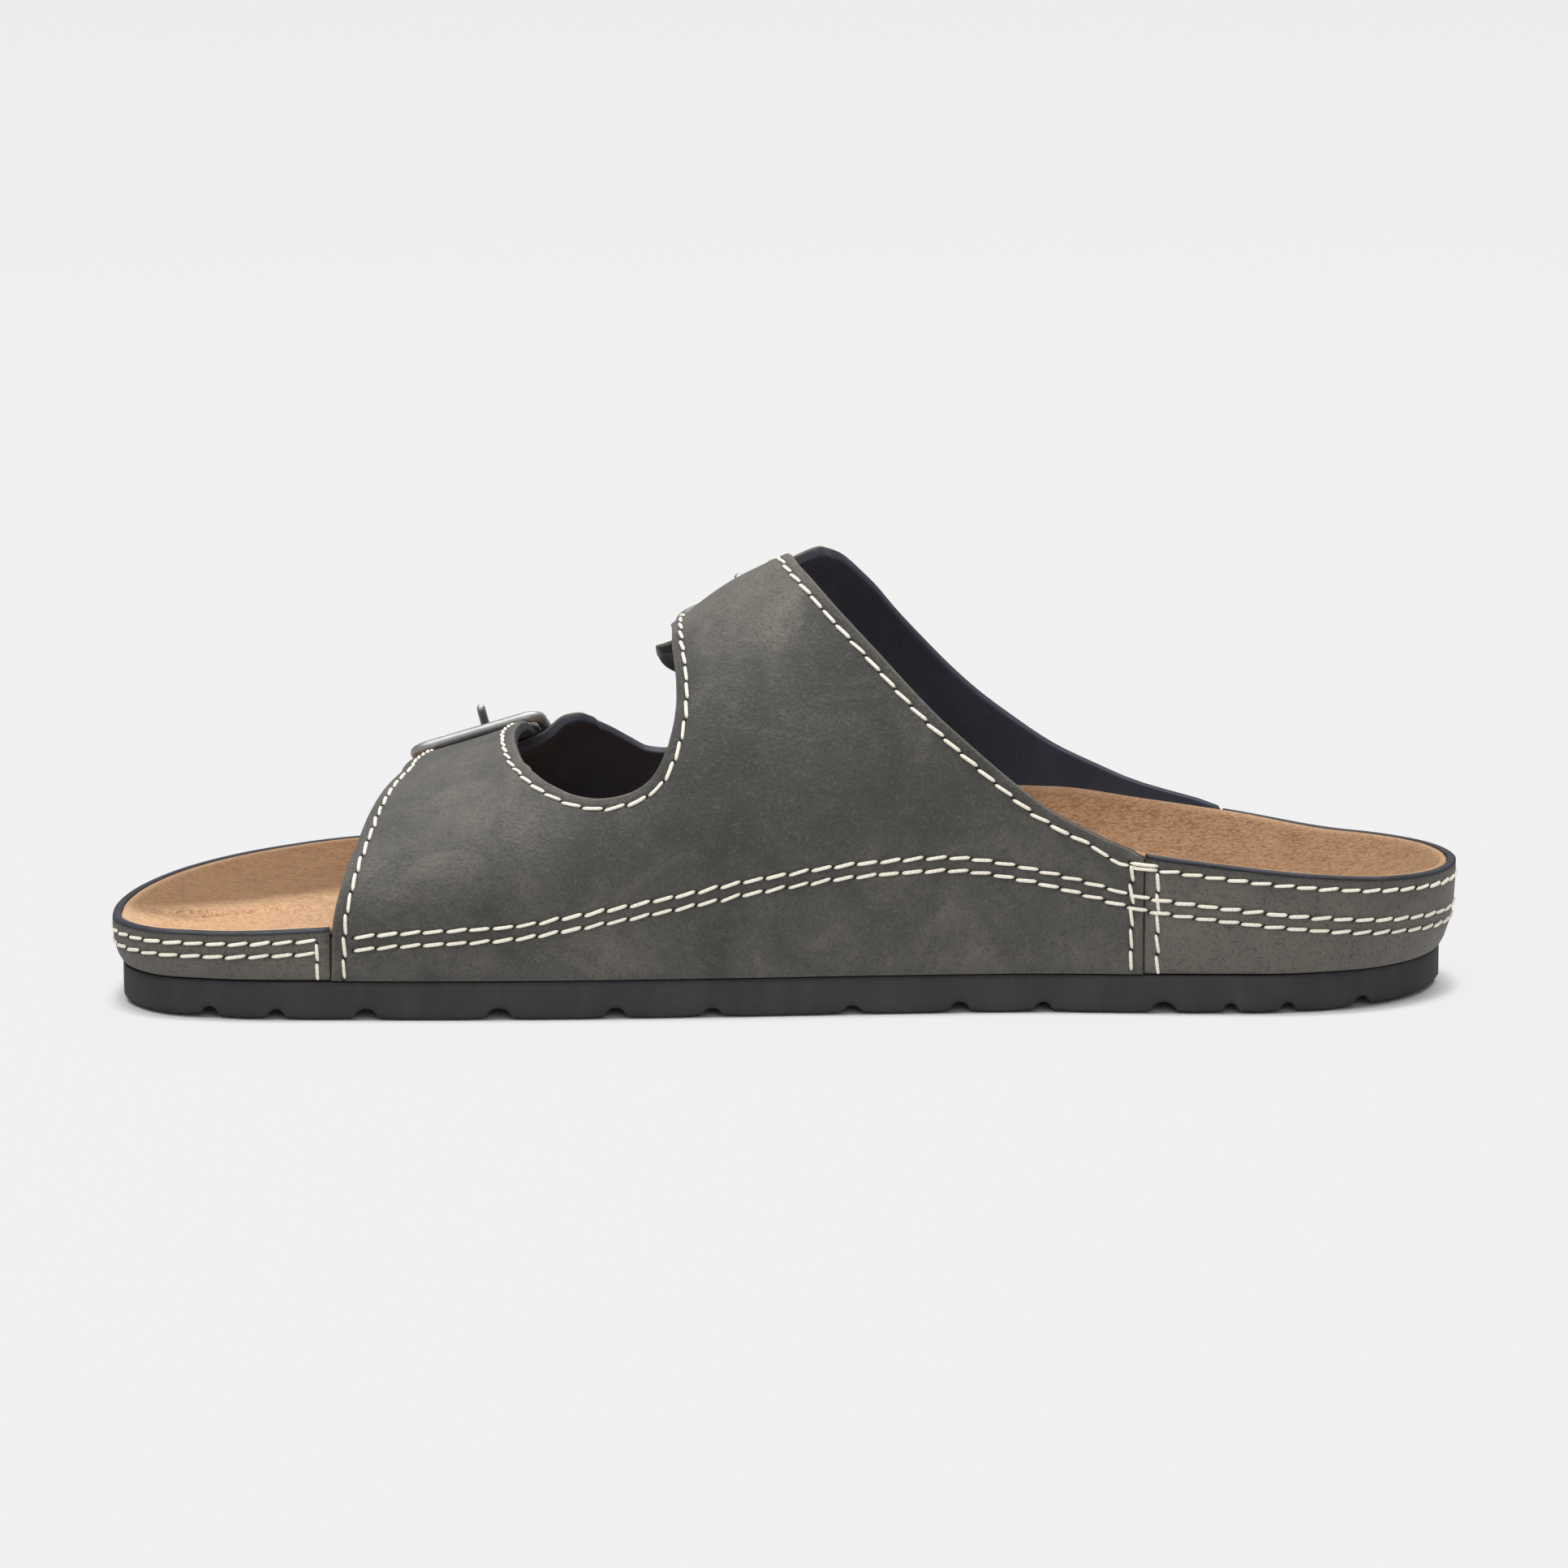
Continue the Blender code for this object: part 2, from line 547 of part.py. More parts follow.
def add_bands(finish):
    toe = stretch(MEDIAL_FRONT[0][1] - SEAM, LATERAL_FRONT[0][1] - SEAM, False, 25)
    add_band("toe_band", *toe, finish)
    heel = stretch(MEDIAL_REAR[0][1] + SEAM, LATERAL_REAR[0][1] + SEAM, True, 25)
    add_band("heel_band", *heel, finish)


PANEL_ROWS = np.array([0, 0.09, 0.19, 0.28, 0.34, 0.39, 0.45, 0.52, 0.61, 0.72, 0.86, 1.0])
STRIP_COLUMNS = np.array([0, 0.14, 0.28, 0.42, 0.58, 0.72, 0.86, 1.0])
NOTCH_COLUMNS = np.array([0.1, 0.26, 0.45, 0.64, 0.83, 0.93])
FRONT_STRIP, REAR_STRIP = slice(0, STRIP_COLUMNS.size), slice(-STRIP_COLUMNS.size, None)
BETWEEN_STRIPS = slice(STRIP_COLUMNS.size - 1, -STRIP_COLUMNS.size + 1)


def panel_grid(front, notch_front, notch, notch_rear, rear, front_rows, rear_rows):
    """Shares and x of one half of the upper: a panel with two strips standing on it.

    Below the notch all columns share the panel's rows. Above it the columns of the notch are dropped.
    """
    corner_front, corner_rear = notch[0][1], notch[-1][1]
    strips = []
    for low, high, corner, rows in ((front, notch_front, corner_front, front_rows),
                                    (notch_rear, rear, corner_rear, rear_rows)):
        shares = np.concatenate([PANEL_ROWS * corner, rows])[:, None]
        left, right = curve(shares, low), curve(shares, high)
        columns = STRIP_COLUMNS[None, :]
        strips.append((np.broadcast_to(shares, (len(shares), columns.size)), left + (right - left) * columns))
    fraction = PANEL_ROWS[:, None]
    left, right = curve(fraction * corner_front, notch_front), curve(fraction * corner_rear, notch_rear)
    notch_x = left + (right - left) * NOTCH_COLUMNS[None, :]
    foot_x = notch[0][0] + (notch[-1][0] - notch[0][0]) * NOTCH_COLUMNS
    notch_share = fraction * curve(foot_x, notch)[None, :]
    filler = np.zeros((len(front_rows), NOTCH_COLUMNS.size))
    share = np.hstack([strips[0][0], np.vstack([notch_share, filler]), strips[1][0]])
    x = np.hstack([strips[0][1], np.vstack([notch_x, filler]), strips[1][1]])
    keep = np.ones((share.shape[0] - 1, share.shape[1] - 1), bool)
    keep[len(PANEL_ROWS) - 1 :, BETWEEN_STRIPS] = False
    return share, x, keep


STRAP_PAST = np.array([-20, -16, -12.5, -10, -7.6, -5, -2.2, 0, 2.5, 5, 8, 12])
HOLE_PAST = (-7.6, -2.2)
HOLE_COLUMN = 3


def strap_end(buckle):
    """Rows of a strap past the crown, as distance past the pivot, and its half width in each."""
    tail = buckle.strap.tail
    approach = np.linspace(-(buckle.strap.pivot - 1.02) * buckle.rate, STRAP_PAST[0], 4)[:-1]
    tip = tail - STRAP_ROUND * np.array([1.0, 0.6, 0.28, 0.08, 0.0])
    past = np.concatenate([approach, STRAP_PAST, np.linspace(STRAP_PAST[-1], tip[0], 4)[1:-1], tip])
    into = np.clip((past - tip[0]) / STRAP_ROUND, 0, 1)
    half = STRAP_WIDTH / 2 - STRAP_ROUND * (1 - np.sqrt(1 - into**2))
    return past, half


def add_medial(buckles, finish):
    """Medial half of the upper: the inner side panel with both long straps, over the foot and buckled."""
    rows = np.linspace(0, 1, 7)[1:]
    shares_front = MEDIAL_NOTCH[0][1] + (1 - MEDIAL_NOTCH[0][1]) * rows
    shares_rear = MEDIAL_NOTCH[-1][1] + (1 - MEDIAL_NOTCH[-1][1]) * rows
    share, x, keep = panel_grid(MEDIAL_FRONT, MEDIAL_NOTCH_FRONT, MEDIAL_NOTCH, MEDIAL_NOTCH_REAR,
                                MEDIAL_REAR, shares_front, shares_rear)
    outer, inner = skin(x, share), skin(x, share, np.full(x.shape, -WALL))
    ends = []
    for buckle, columns in zip(buckles, (FRONT_STRIP, REAR_STRIP)):
        past, half = strap_end(buckle)
        girth = buckle.girth(past)
        crown_x = x[-1, columns]
        wide = (2 * STRIP_COLUMNS[None, :] - 1) * half[:, None]
        rest = tongue_sink(2 - girth) + TONGUE_SINK
        lift = np.broadcast_to((curve(past, STRAP_LIFT) + np.where(past > 0, rest, 0))[:, None], wide.shape)
        settled = smooth_step((girth - 1) / (buckle.girth(-FRAME_DEPTH - 3) - 1))[:, None]
        grids = []
        for face in (0.0, -WALL):
            narrow = buckle.place(wide, past[:, None], lift + face)
            broad = skin(np.broadcast_to(crown_x, wide.shape), np.broadcast_to(girth[:, None], wide.shape),
                         lift + face)
            grids.append(broad * (1 - settled[..., None]) + narrow * settled[..., None])
        ends.append(grids)
    gap = np.zeros((len(ends[0][0]), NOTCH_COLUMNS.size, 3))
    outer = np.vstack([outer, np.hstack([ends[0][0], gap, ends[1][0]])])
    inner = np.vstack([inner, np.hstack([ends[0][1], gap, ends[1][1]])])
    strips = np.ones((len(gap), keep.shape[1]), bool)
    strips[:, BETWEEN_STRIPS] = False
    past = strap_end(buckles[0])[0]
    hole = (past[1:] > HOLE_PAST[0] + 0.1) & (past[1:] < HOLE_PAST[1] + 0.1)
    for strip in (FRONT_STRIP, REAR_STRIP):
        middle = np.arange(keep.shape[1] + 1)[strip][HOLE_COLUMN]
        strips[1:][hole, middle] = False
    return shell("upper_medial", outer, inner, np.vstack([keep, strips]), finish)


def tongue_sink(share):
    """The tongues sink below the form where the straps cover them."""
    return -TONGUE_SINK * smooth_step((share - SINK_FROM) / (SINK_TO - SINK_FROM))


def rounded_top(share, x, columns, top, rate):
    """Draws in the strip's upper corners to a round."""
    left, right = x[:, columns][:, :1], x[:, columns][:, -1:]
    below = np.clip((top - share[:, columns][:, :1]) * rate, 0, TONGUE_ROUND)
    inset = TONGUE_ROUND * (1 - np.sqrt(1 - (1 - below / TONGUE_ROUND) ** 2))
    x[:, columns] = left + inset + (right - left - 2 * inset) * STRIP_COLUMNS[None, :]


def add_lateral(buckles, finish):
    """Lateral half of the upper: the outer side panel with two tongues that lie under the straps."""
    rows = []
    for buckle, corner in zip(buckles, (LATERAL_NOTCH[0][1], LATERAL_NOTCH[-1][1])):
        top = buckle.strap.tongue_top
        start = top - TONGUE_ROUND / buckle.rate
        body = np.linspace(corner, start, 5)[1:]
        rows.append(np.concatenate([body, top - TONGUE_ROUND / buckle.rate * np.array([0.6, 0.3, 0.1, 0.0])]))
    share, x, keep = panel_grid(LATERAL_FRONT, LATERAL_NOTCH_FRONT, LATERAL_NOTCH, LATERAL_NOTCH_REAR,
                                LATERAL_REAR, *rows)
    for buckle, columns in zip(buckles, (FRONT_STRIP, REAR_STRIP)):
        rounded_top(share, x, columns, buckle.strap.tongue_top, buckle.rate)
    sink = tongue_sink(share)
    outer, inner = skin(x, 2 - share, sink), skin(x, 2 - share, sink - WALL)
    return shell("upper_lateral", outer[:, ::-1], inner[:, ::-1], keep[:, ::-1], finish)


def add_loop(buckle, finish):
    """A leather strip folded round the pivot bar, both ends lying on the tongue."""
    reach = PIVOT_RADIUS + EYE_GAP
    turn = np.radians(np.linspace(0, 180, 7))
    lower = np.array([(past, FOLD_SEAT - TONGUE_SINK) for past in (14.0, 10.0, 6.0, 3.2)])
    centre = np.array([0.0, buckle.pivot_lift])
    circle = np.stack([-np.sin(turn), -np.cos(turn)], 1)
    over = np.array([(3.2, 2.05), (6.2, 0.75), (9.5, 0.35), (13.0, 0.3)])
    over[:, 1] += FOLD_SEAT - TONGUE_SINK + 2 * FOLD_THICK
    outside = np.vstack([lower, centre + circle * (reach + FOLD_THICK), over])
    inside = np.vstack([lower + (0, FOLD_THICK), centre + circle * reach, over - (0.35, FOLD_THICK)])
    sink = np.array([float(tongue_sink(2 - buckle.girth(p))) for p in np.maximum(outside[:, 0], 0)])
    outside[:, 1] += sink + TONGUE_SINK
    inside[:, 1] += sink + TONGUE_SINK
    half = FOLD_WIDTH / 2
    wide = np.array([-half, -half * 0.6, -FOLD_SLOT / 2, FOLD_SLOT / 2, half * 0.6, half])
    grids = [buckle.place(wide[None, :], line[:, :1], line[:, 1:]) for line in (outside, inside)]
    keep = np.ones((len(outside) - 1, wide.size - 1), bool)
    keep[3:11, 2] = False
    return shell(f"buckle_loop_{buckle.strap.name}", *grids, keep, finish)


def tube(name, points, radii, finish, cyclic, resolution):
    """A wire of changing thickness as a curve with filled caps."""
    data = bpy.data.curves.new(name, "CURVE")
    data.dimensions = "3D"
    data.bevel_depth = MM
    data.bevel_resolution = resolution
    data.use_fill_caps = True
    line = data.splines.new("POLY")
    line.points.add(len(points) - 1)
    for slot, point, radius in zip(line.points, points, radii):
        slot.co = (*(np.asarray(point) * MM), 1.0)
        slot.radius = radius
    line.use_cyclic_u = cyclic
    line.use_smooth = True
    data.materials.append(finish)
    made = bpy.data.objects.new(name, data)
    bpy.data.collections["cork_footbed_sandal"].objects.link(made)
    return made


def add_frame(buckle, finish):
    """A rounded rectangle of wire, from the pivot bar under the strap to the bar that lies over it."""
    half = STRAP_WIDTH / 2 + 2 * GAP + BAR_RADIUS
    rise = unit(buckle.bar - buckle.pivot)
    depth = float(np.linalg.norm(buckle.bar - buckle.pivot))
    quarter = np.radians(np.linspace(0, 90, 4))
    points, radii = [], []
    for sign, far in ((1, 0), (1, 1), (-1, 1), (-1, 0)):
        bend = quarter if (sign, far) in ((1, 1), (-1, 0)) else quarter[::-1]
        for angle in bend:
            wide = sign * (half - FRAME_CORNER * (1 - math.cos(angle)))
            deep = FRAME_CORNER * (1 - math.sin(angle))
            at = depth - deep if far else deep
            across = buckle.across + (buckle.bar_across - buckle.across) * at / depth
            points.append(buckle.pivot + across * wide + rise * at)
            radii.append(PIVOT_RADIUS + (BAR_RADIUS - PIVOT_RADIUS) * min(1.0, at / 4.0))
    return tube(f"buckle_frame_{buckle.strap.name}", points, radii, finish, True, 2)


def add_prong(buckle, finish):
    """The tongue pin: hooked round the pivot bar, up through the strap and over the outer bar."""
    reach = PIVOT_RADIUS + EYE_GAP + PRONG_EYE_RADIUS
    points, radii = [], []
    for angle in np.radians(np.linspace(215, 20, 8)):
        past, lift = reach * math.sin(angle), reach * math.cos(angle)
        points.append(buckle.pivot + buckle.down * past + buckle.out * lift)
        radii.append(PRONG_EYE_RADIUS)
    over_bar = buckle.bar + buckle.bar_out * (BAR_RADIUS + GAP + PRONG_RADIUS + buckle.strap.prong_rise)
    tip = over_bar + buckle.bar_across * buckle.strap.prong_lean
    start = points[-1]
    for share, radius in ((0.12, 0.75), (0.3, PRONG_RADIUS), (0.65, PRONG_RADIUS), (0.95, PRONG_RADIUS),
                          (1.0, PRONG_RADIUS * 0.6)):
        points.append(start + (tip - start) * share)
        radii.append(radius)
    return tube(f"buckle_prong_{buckle.strap.name}", points, radii, finish, False, 1)


def clear_scene():
    for made in list(bpy.data.objects):
        bpy.data.objects.remove(made, do_unlink=True)
    for name in ("cork_footbed_sandal", "cutters"):
        holder = bpy.data.collections.new(name)
        bpy.context.scene.collection.children.link(holder)
    bpy.data.collections["cutters"].hide_render = True


def main():
    clear_scene()
    leather = material("oiled_leather", LEATHER)
    metal = material("gunmetal", GUNMETAL)
    add_outsole(material("black_rubber", RUBBER))
    add_cork(material("cork", CORK))
    add_liner(material("tan_suede", SUEDE))
    add_bands(leather)
    buckles = [Buckle(FRONT_STRAP), Buckle(REAR_STRAP)]
    add_medial(buckles, leather)
    add_lateral(buckles, leather)
    for buckle in buckles:
        add_loop(buckle, leather)
        add_frame(buckle, metal)
        add_prong(buckle, metal)


if __name__ == "__main__":
    main()
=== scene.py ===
"""Looks of a cork footbed sandal for the right foot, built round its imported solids.

Sizes are in millimetres until a mesh is made. X runs from toe (-) to heel (+), the inner (medial) side of
the foot is -Y, the outer (lateral) side is +Y, and Z is up from the floor.
"""

import logging
import math
from collections.abc import Callable, Sequence
from dataclasses import dataclass, field
from enum import Enum

import bpy
import numpy as np
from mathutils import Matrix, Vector

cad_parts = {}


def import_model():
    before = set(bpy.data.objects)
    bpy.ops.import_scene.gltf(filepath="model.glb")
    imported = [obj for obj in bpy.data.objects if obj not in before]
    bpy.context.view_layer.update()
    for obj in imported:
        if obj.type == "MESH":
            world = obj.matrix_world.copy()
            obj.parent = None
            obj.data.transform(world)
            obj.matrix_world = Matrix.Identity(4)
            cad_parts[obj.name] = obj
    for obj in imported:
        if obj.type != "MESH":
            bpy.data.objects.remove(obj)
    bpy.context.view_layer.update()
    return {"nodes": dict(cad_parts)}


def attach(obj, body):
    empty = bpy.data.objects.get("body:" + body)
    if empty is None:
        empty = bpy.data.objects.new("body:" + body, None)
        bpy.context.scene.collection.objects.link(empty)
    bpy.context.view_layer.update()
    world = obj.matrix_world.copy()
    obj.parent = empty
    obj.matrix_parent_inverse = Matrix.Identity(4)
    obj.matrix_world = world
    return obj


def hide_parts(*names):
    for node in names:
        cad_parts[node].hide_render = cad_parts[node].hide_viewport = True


LOG = logging.getLogger("sandal")
MM = 0.001
Array = np.ndarray
Table = tuple[tuple[float, ...], ...]
Colour = tuple[float, float, float]


def curve(x: Array | float, rows: Table | list, column: int = 1) -> Array:
    """Smooth curve through a table's rows that never overshoots them.

    Cubic Hermite pieces whose slopes are the weighted harmonic means of the two neighbouring rates.

    Args:
        x: Places to read the curve at, held inside the table.
        rows: Rows whose first column rises.
        column: The column that is read.

    Returns:
        The curve's values.
    """
    xs = np.array([row[0] for row in rows], float)
    ys = np.array([row[column] for row in rows], float)
    step = np.diff(xs)
    rate = np.diff(ys) / step
    before, after = rate[:-1], rate[1:]
    near, far = 2 * step[1:] + step[:-1], step[1:] + 2 * step[:-1]
    same = before * after > 0
    safe = np.where(same, near * after + far * before, 1)
    middle = np.where(same, (near + far) * before * after / safe, 0)
    slope = np.concatenate([rate[:1], middle, rate[-1:]])
    x = np.clip(np.asarray(x, float), xs[0], xs[-1])
    i = np.clip(np.searchsorted(xs, x, side="right") - 1, 0, len(step) - 1)
    t = (x - xs[i]) / step[i]
    start = (1 + 2 * t) * (1 - t) ** 2 * ys[i] + t * (1 - t) ** 2 * step[i] * slope[i]
    return start + t * t * (3 - 2 * t) * ys[i + 1] + t * t * (t - 1) * step[i] * slope[i + 1]


def smooth_step(x: Array | float) -> Array:
    """Rise from 0 to 1 as x goes from 0 to 1, flat at both ends: 3x^2 - 2x^3."""
    x = np.clip(x, 0, 1)
    return x * x * (3 - 2 * x)


def unit(vector: Array) -> Array:
    """The vectors at length 1."""
    return vector / np.maximum(np.linalg.norm(vector, axis=-1, keepdims=True), 1e-9)


def graded(length: float, step: float, fine: Sequence[float] = (0.12, 0.35, 0.7, 1.2)) -> Array:
    """Shares from 0 to 1 along a length, a step apart in the middle and finer at both ends.

    Args:
        length: The real length that they cover.
        step: The distance between two in the middle.
        fine: Distances of the extra ones from either end.

    Returns:
        The shares, rising.
    """
    near = np.array(fine) / length
    count = max(2, round(length * (1 - 2 * near[-1]) / step) + 1)
    return np.concatenate([[0], near[:-1], np.linspace(near[-1], 1 - near[-1], count), 1 - near[-2::-1], [1]])


def nearest(points: Array, line: Array, chunk: int = 2000) -> Array:
    """Distance from each point to the nearest of a line's points.

    Args:
        points: Points as (n, 3).
        line: Points as (m, 3).
        chunk: How many points are worked on at a time.

    Returns:
        The n distances.
    """
    found = []
    for start in range(0, len(points), chunk):
        part = points[start : start + chunk, None, :] - line[None, :, :]
        found.append(np.sqrt((part**2).sum(-1).min(1)))
    return np.concatenate(found)


@dataclass(frozen=True)
class Last:
    """The form that every piece is shaped on: the sole's outline, the footbed and the arch over the foot."""

    sole_top: float = 8.2
    wrap_base: float = 8.5
    wall: float = 2.4
    rim_lip: float = 0.8
    bed_edge: float = 2.85
    # x, y from the toe tip round the medial side to the heel and back
    outline: Table = (
        (-140.4, -27.0), (-138.6, -39.5), (-131.5, -48.3), (-119.0, -52.2), (-90.0, -53.3),
        (-50.0, -52.9), (-10.0, -50.2), (25.0, -47.2), (55.0, -45.6), (85.0, -47.2),
        (108.0, -47.0), (124.6, -41.7), (136.5, -30.2), (141.8, -13.0), (137.9, 3.2),
        (127.0, 14.8), (110.0, 22.3), (88.0, 28.2), (55.0, 34.0), (20.0, 40.5),
        (-20.0, 47.8), (-55.0, 52.8), (-80.0, 53.2), (-100.0, 48.6), (-116.0, 37.2),
        (-128.0, 20.8), (-135.4, 3.5), (-139.4, -13.0),
    )
    # x, rim on the medial and lateral side, tuck at the foot, the crown's y, z and fullness
    sections: Table = (
        (-141, 18.8, 18.8, 2.4, -4, 25.0, 2.10), (-120, 18.8, 18.6, 1.5, -4, 30.0, 2.10),
        (-93, 19.8, 19.3, 0.8, -5, 39.5, 2.10), (-77, 21.4, 20.4, 0.6, -5, 45.2, 2.10),
        (-60, 23.5, 21.8, 0.6, -6, 51.1, 2.10), (-40, 27.0, 24.5, 0.6, -8, 62.5, 2.00),
        (-23, 30.3, 27.0, 0.6, -9, 76.0, 1.90), (-11, 32.8, 28.8, 0.6, -10, 85.1, 1.85),
        (1, 35.0, 30.3, 0.6, -11, 91.3, 1.80), (15, 37.2, 32.2, 0.6, -12, 99.0, 1.75),
        (35, 38.5, 34.0, 0.6, -12, 109.0, 1.70), (58, 37.0, 34.0, 0.6, -13, 119.0, 1.70),
        (77, 33.5, 32.0, 0.8, -13, 125.0, 1.70), (95, 31.2, 30.0, 1.2, -13, 128.0, 1.70),
        (123, 28.3, 27.0, 2.4, -13, 130.0, 1.70), (141, 27.0, 27.0, 3.2, -13, 130.0, 1.70),
    )
    # x, floor of the footbed, width of the slope down from the rim on the medial and lateral side
    bed: Table = (
        (-141, 14.8, 16, 30), (-115, 14.3, 17, 34), (-96, 14.4, 17, 31), (-65, 14.4, 16, 20),
        (-35, 16.4, 24, 18), (-5, 18.8, 32, 22), (25, 19.4, 36, 24), (55, 18.0, 34, 26),
        (90, 16.6, 28, 26), (141, 16.8, 26, 26),
    )
    # x, height of the outsole's underside
    tread: Table = (
        (-141, 1.6), (-132, 0.7), (-116, 0.25), (-98, 0.0), (96, 0.0), (118, 0.2), (132, 0.7), (141, 1.6),
    )
    dense: Array = field(init=False, repr=False)
    sides: tuple[Array, Array] = field(init=False, repr=False)

    def __post_init__(self) -> None:
        """Works out the outline's smooth closed curve and its two sides, each from toe to heel."""
        points = np.array(self.outline)
        before, after = np.roll(points, 1, 0), np.roll(points, -1, 0)
        reach_in = np.linalg.norm(points - before, axis=1)[:, None]
        reach_out = np.linalg.norm(after - points, axis=1)[:, None]
        slope = (points - before) / reach_in * reach_out + (after - points) / reach_out * reach_in
        slope /= reach_in + reach_out
        start, end = (slope * reach_out)[:, None], (np.roll(slope, -1, 0) * reach_out)[:, None]
        t = (np.arange(24) / 24)[None, :, None]
        line = (1 + 2 * t) * (1 - t) ** 2 * points[:, None] + t * (1 - t) ** 2 * start
        line = (line + t * t * (3 - 2 * t) * after[:, None] + t * t * (t - 1) * end).reshape(-1, 2)
        line = np.roll(line, -int(line[:, 0].argmin()), 0)
        heel = int(line[:, 0].argmax())
        object.__setattr__(self, "dense", line)
        object.__setattr__(self, "sides", (line[: heel + 1], np.vstack([line[heel:], line[:1]])[::-1]))

    def section(self, x: Array | float, column: int) -> Array:
        """A column of the sections' table at x."""
        return curve(x, self.sections, column)

    def side_y(self, x: Array, lateral: Array) -> Array:
        """Where the outline lies at x, on one side of the foot."""
        medial, outer = self.sides
        return np.where(lateral, np.interp(x, *outer.T), np.interp(x, *medial.T))

    def rim(self, x: Array, lateral: Array) -> Array:
        """Height of the footbed's rim."""
        return np.where(lateral, self.section(x, 2), self.section(x, 1))

    def tuck(self, x: Array, z: Array, lateral: Array) -> Array:
        """How far the wrap lies inside the outline at height z: the tuck times the depth cubed."""
        top = self.rim(x, lateral)
        return self.section(x, 3) * np.clip((top - z) / (top - self.wrap_base), 0, 1) ** 3

    def bare(self, x: Array | float, girth: Array | float) -> Array:
        """Outer face of the upper, a wall up to the rim and a superellipse from there to the crown.

        Args:
            x: Place along the foot.
            girth: 0 at the medial sole, 1 at the crown, 2 at the lateral sole.

        Returns:
            Points.
        """
        x, girth = np.broadcast_arrays(np.asarray(x, float), np.asarray(girth, float))
        lateral = girth > 1
        share = np.where(lateral, 2 - girth, girth)
        top, edge = self.rim(x, lateral), self.side_y(x, lateral)
        wall, rise = top - self.wrap_base, self.section(x, 5) - top
        half = edge - self.section(x, 4)
        arch = math.pi / 2 * np.sqrt((half**2 + rise**2) / 2)
        foot = wall / (wall + arch)
        wall_z = self.wrap_base + np.clip(share / foot, 0, 1) * wall
        wall_y = edge - np.sign(half) * self.tuck(x, wall_z, lateral)
        angle = np.clip((share - foot) / (1 - foot), 0, 1) * math.pi / 2
        power = 2 / self.section(x, 6)
        arch_y = self.section(x, 4) + half * np.maximum(np.cos(angle), 0) ** power
        arch_z = top + rise * np.sin(angle) ** power
        above = share > foot
        return np.stack([x, np.where(above, arch_y, wall_y), np.where(above, arch_z, wall_z)], -1)

    def along(self, x: Array | float, girth: Array | float, step: float = 0.6) -> Array:
        """Rate of the form along x, by a central difference."""
        return (self.bare(x + step, girth) - self.bare(x - step, girth)) / (2 * step)

    def around(self, x: Array | float, girth: Array | float, step: float = 0.006) -> Array:
        """Rate of the form along the girth, by a central difference."""
        return (self.bare(x, girth + step) - self.bare(x, girth - step)) / (2 * step)

    def out(self, x: Array, girth: Array) -> Array:
        """Outward normal of the form: the cross product of its two rates."""
        inside = np.clip(girth, 0.006, 1.994)
        return unit(np.cross(self.along(x, inside), self.around(x, inside)))

    def skin(self, x: Array | float, girth: Array | float, lift: Array | float = 0.0) -> Array:
        """The form's face moved outwards along its normal by lift."""
        x, girth = np.asarray(x, float), np.asarray(girth, float)
        return self.bare(x, girth) + self.out(x, girth) * np.asarray(lift, float)[..., None]

    def row_rise(self, points: Array, drop: Table) -> Array:
        """Height of points over the upper of the two long rows of stitches.

        Args:
            points: Points as (n, 3).
            drop: How far the row lies below the rim, by x.

        Returns:
            The n heights.
        """
        lateral = points[:, 1] > self.section(points[:, 0], 4)
        return points[:, 2] - self.rim(points[:, 0], lateral) + curve(points[:, 0], drop)


def bell(x: Array, z: Array, centre: tuple[float, float], reach: tuple[float, float]) -> Array:
    """Bell over a spot of the side: e to minus the squared distances in x and z, each over its reach."""
    return np.exp(-(((x - centre[0]) / reach[0]) ** 2) - ((z - centre[1]) / reach[1]) ** 2)


def leather_tone_and_light(points: Array) -> Array:
    """How pale (+) or dark (-) the leather is at points, partly its own oiled pull-up and partly painted
    light.

    It pales on the bands, over both crowns and towards the sole, and darkens in one wide patch on the panel.
    The paler bands and the crowns that pale with height are painted light from the front and from above.

    Args:
        points: Points as (n, 3).

    Returns:
        The n tones.
    """
    x, z = points[:, 0], points[:, 2]
    # painted light: the bands and the tops of the crowns are made paler as if lit from the front and from
    # above
    bands = 0.75 * ((x < -93.2) | ((x > 74.6) & (z < 40)))
    crowns = 0.7 * smooth_step((z - 66) / 16) * (x < 4) + 0.35 * bell(x, z, (-66, 44), (18, 16))
    return bands + crowns + 0.30 * smooth_step((26 - z) / 14) - bell(x, z, (4, 46), (40, 20))


# How far the upper of the two long rows lies below the rim, by x
ROW_DROP: Table = (
    (-141, 2.6), (-97, 2.5), (-86, 2.3), (-69.5, 3.1), (-53, 4.2), (-36, 4.4), (-3, 4.6), (14, 5.0),
    (35, 5.3), (47.6, 6.5), (64, 8.6), (73, 9.1), (100, 9.0), (141, 9.0),
)
ROW_APART = 2.7
EDGE_INSET = 2.6
# Depth of the heel's single row below the rim, the gap at a seam and the inset of the rows beside it
HEEL_ROW = 2.8
SEAM_GAP = 0.2
SEAM_ROW = 2.8
# A mark's value where it has no effect
FAR = 9.0
# The same corners of a face, taken the other way round
FLIP = [0, 3, 2, 1]


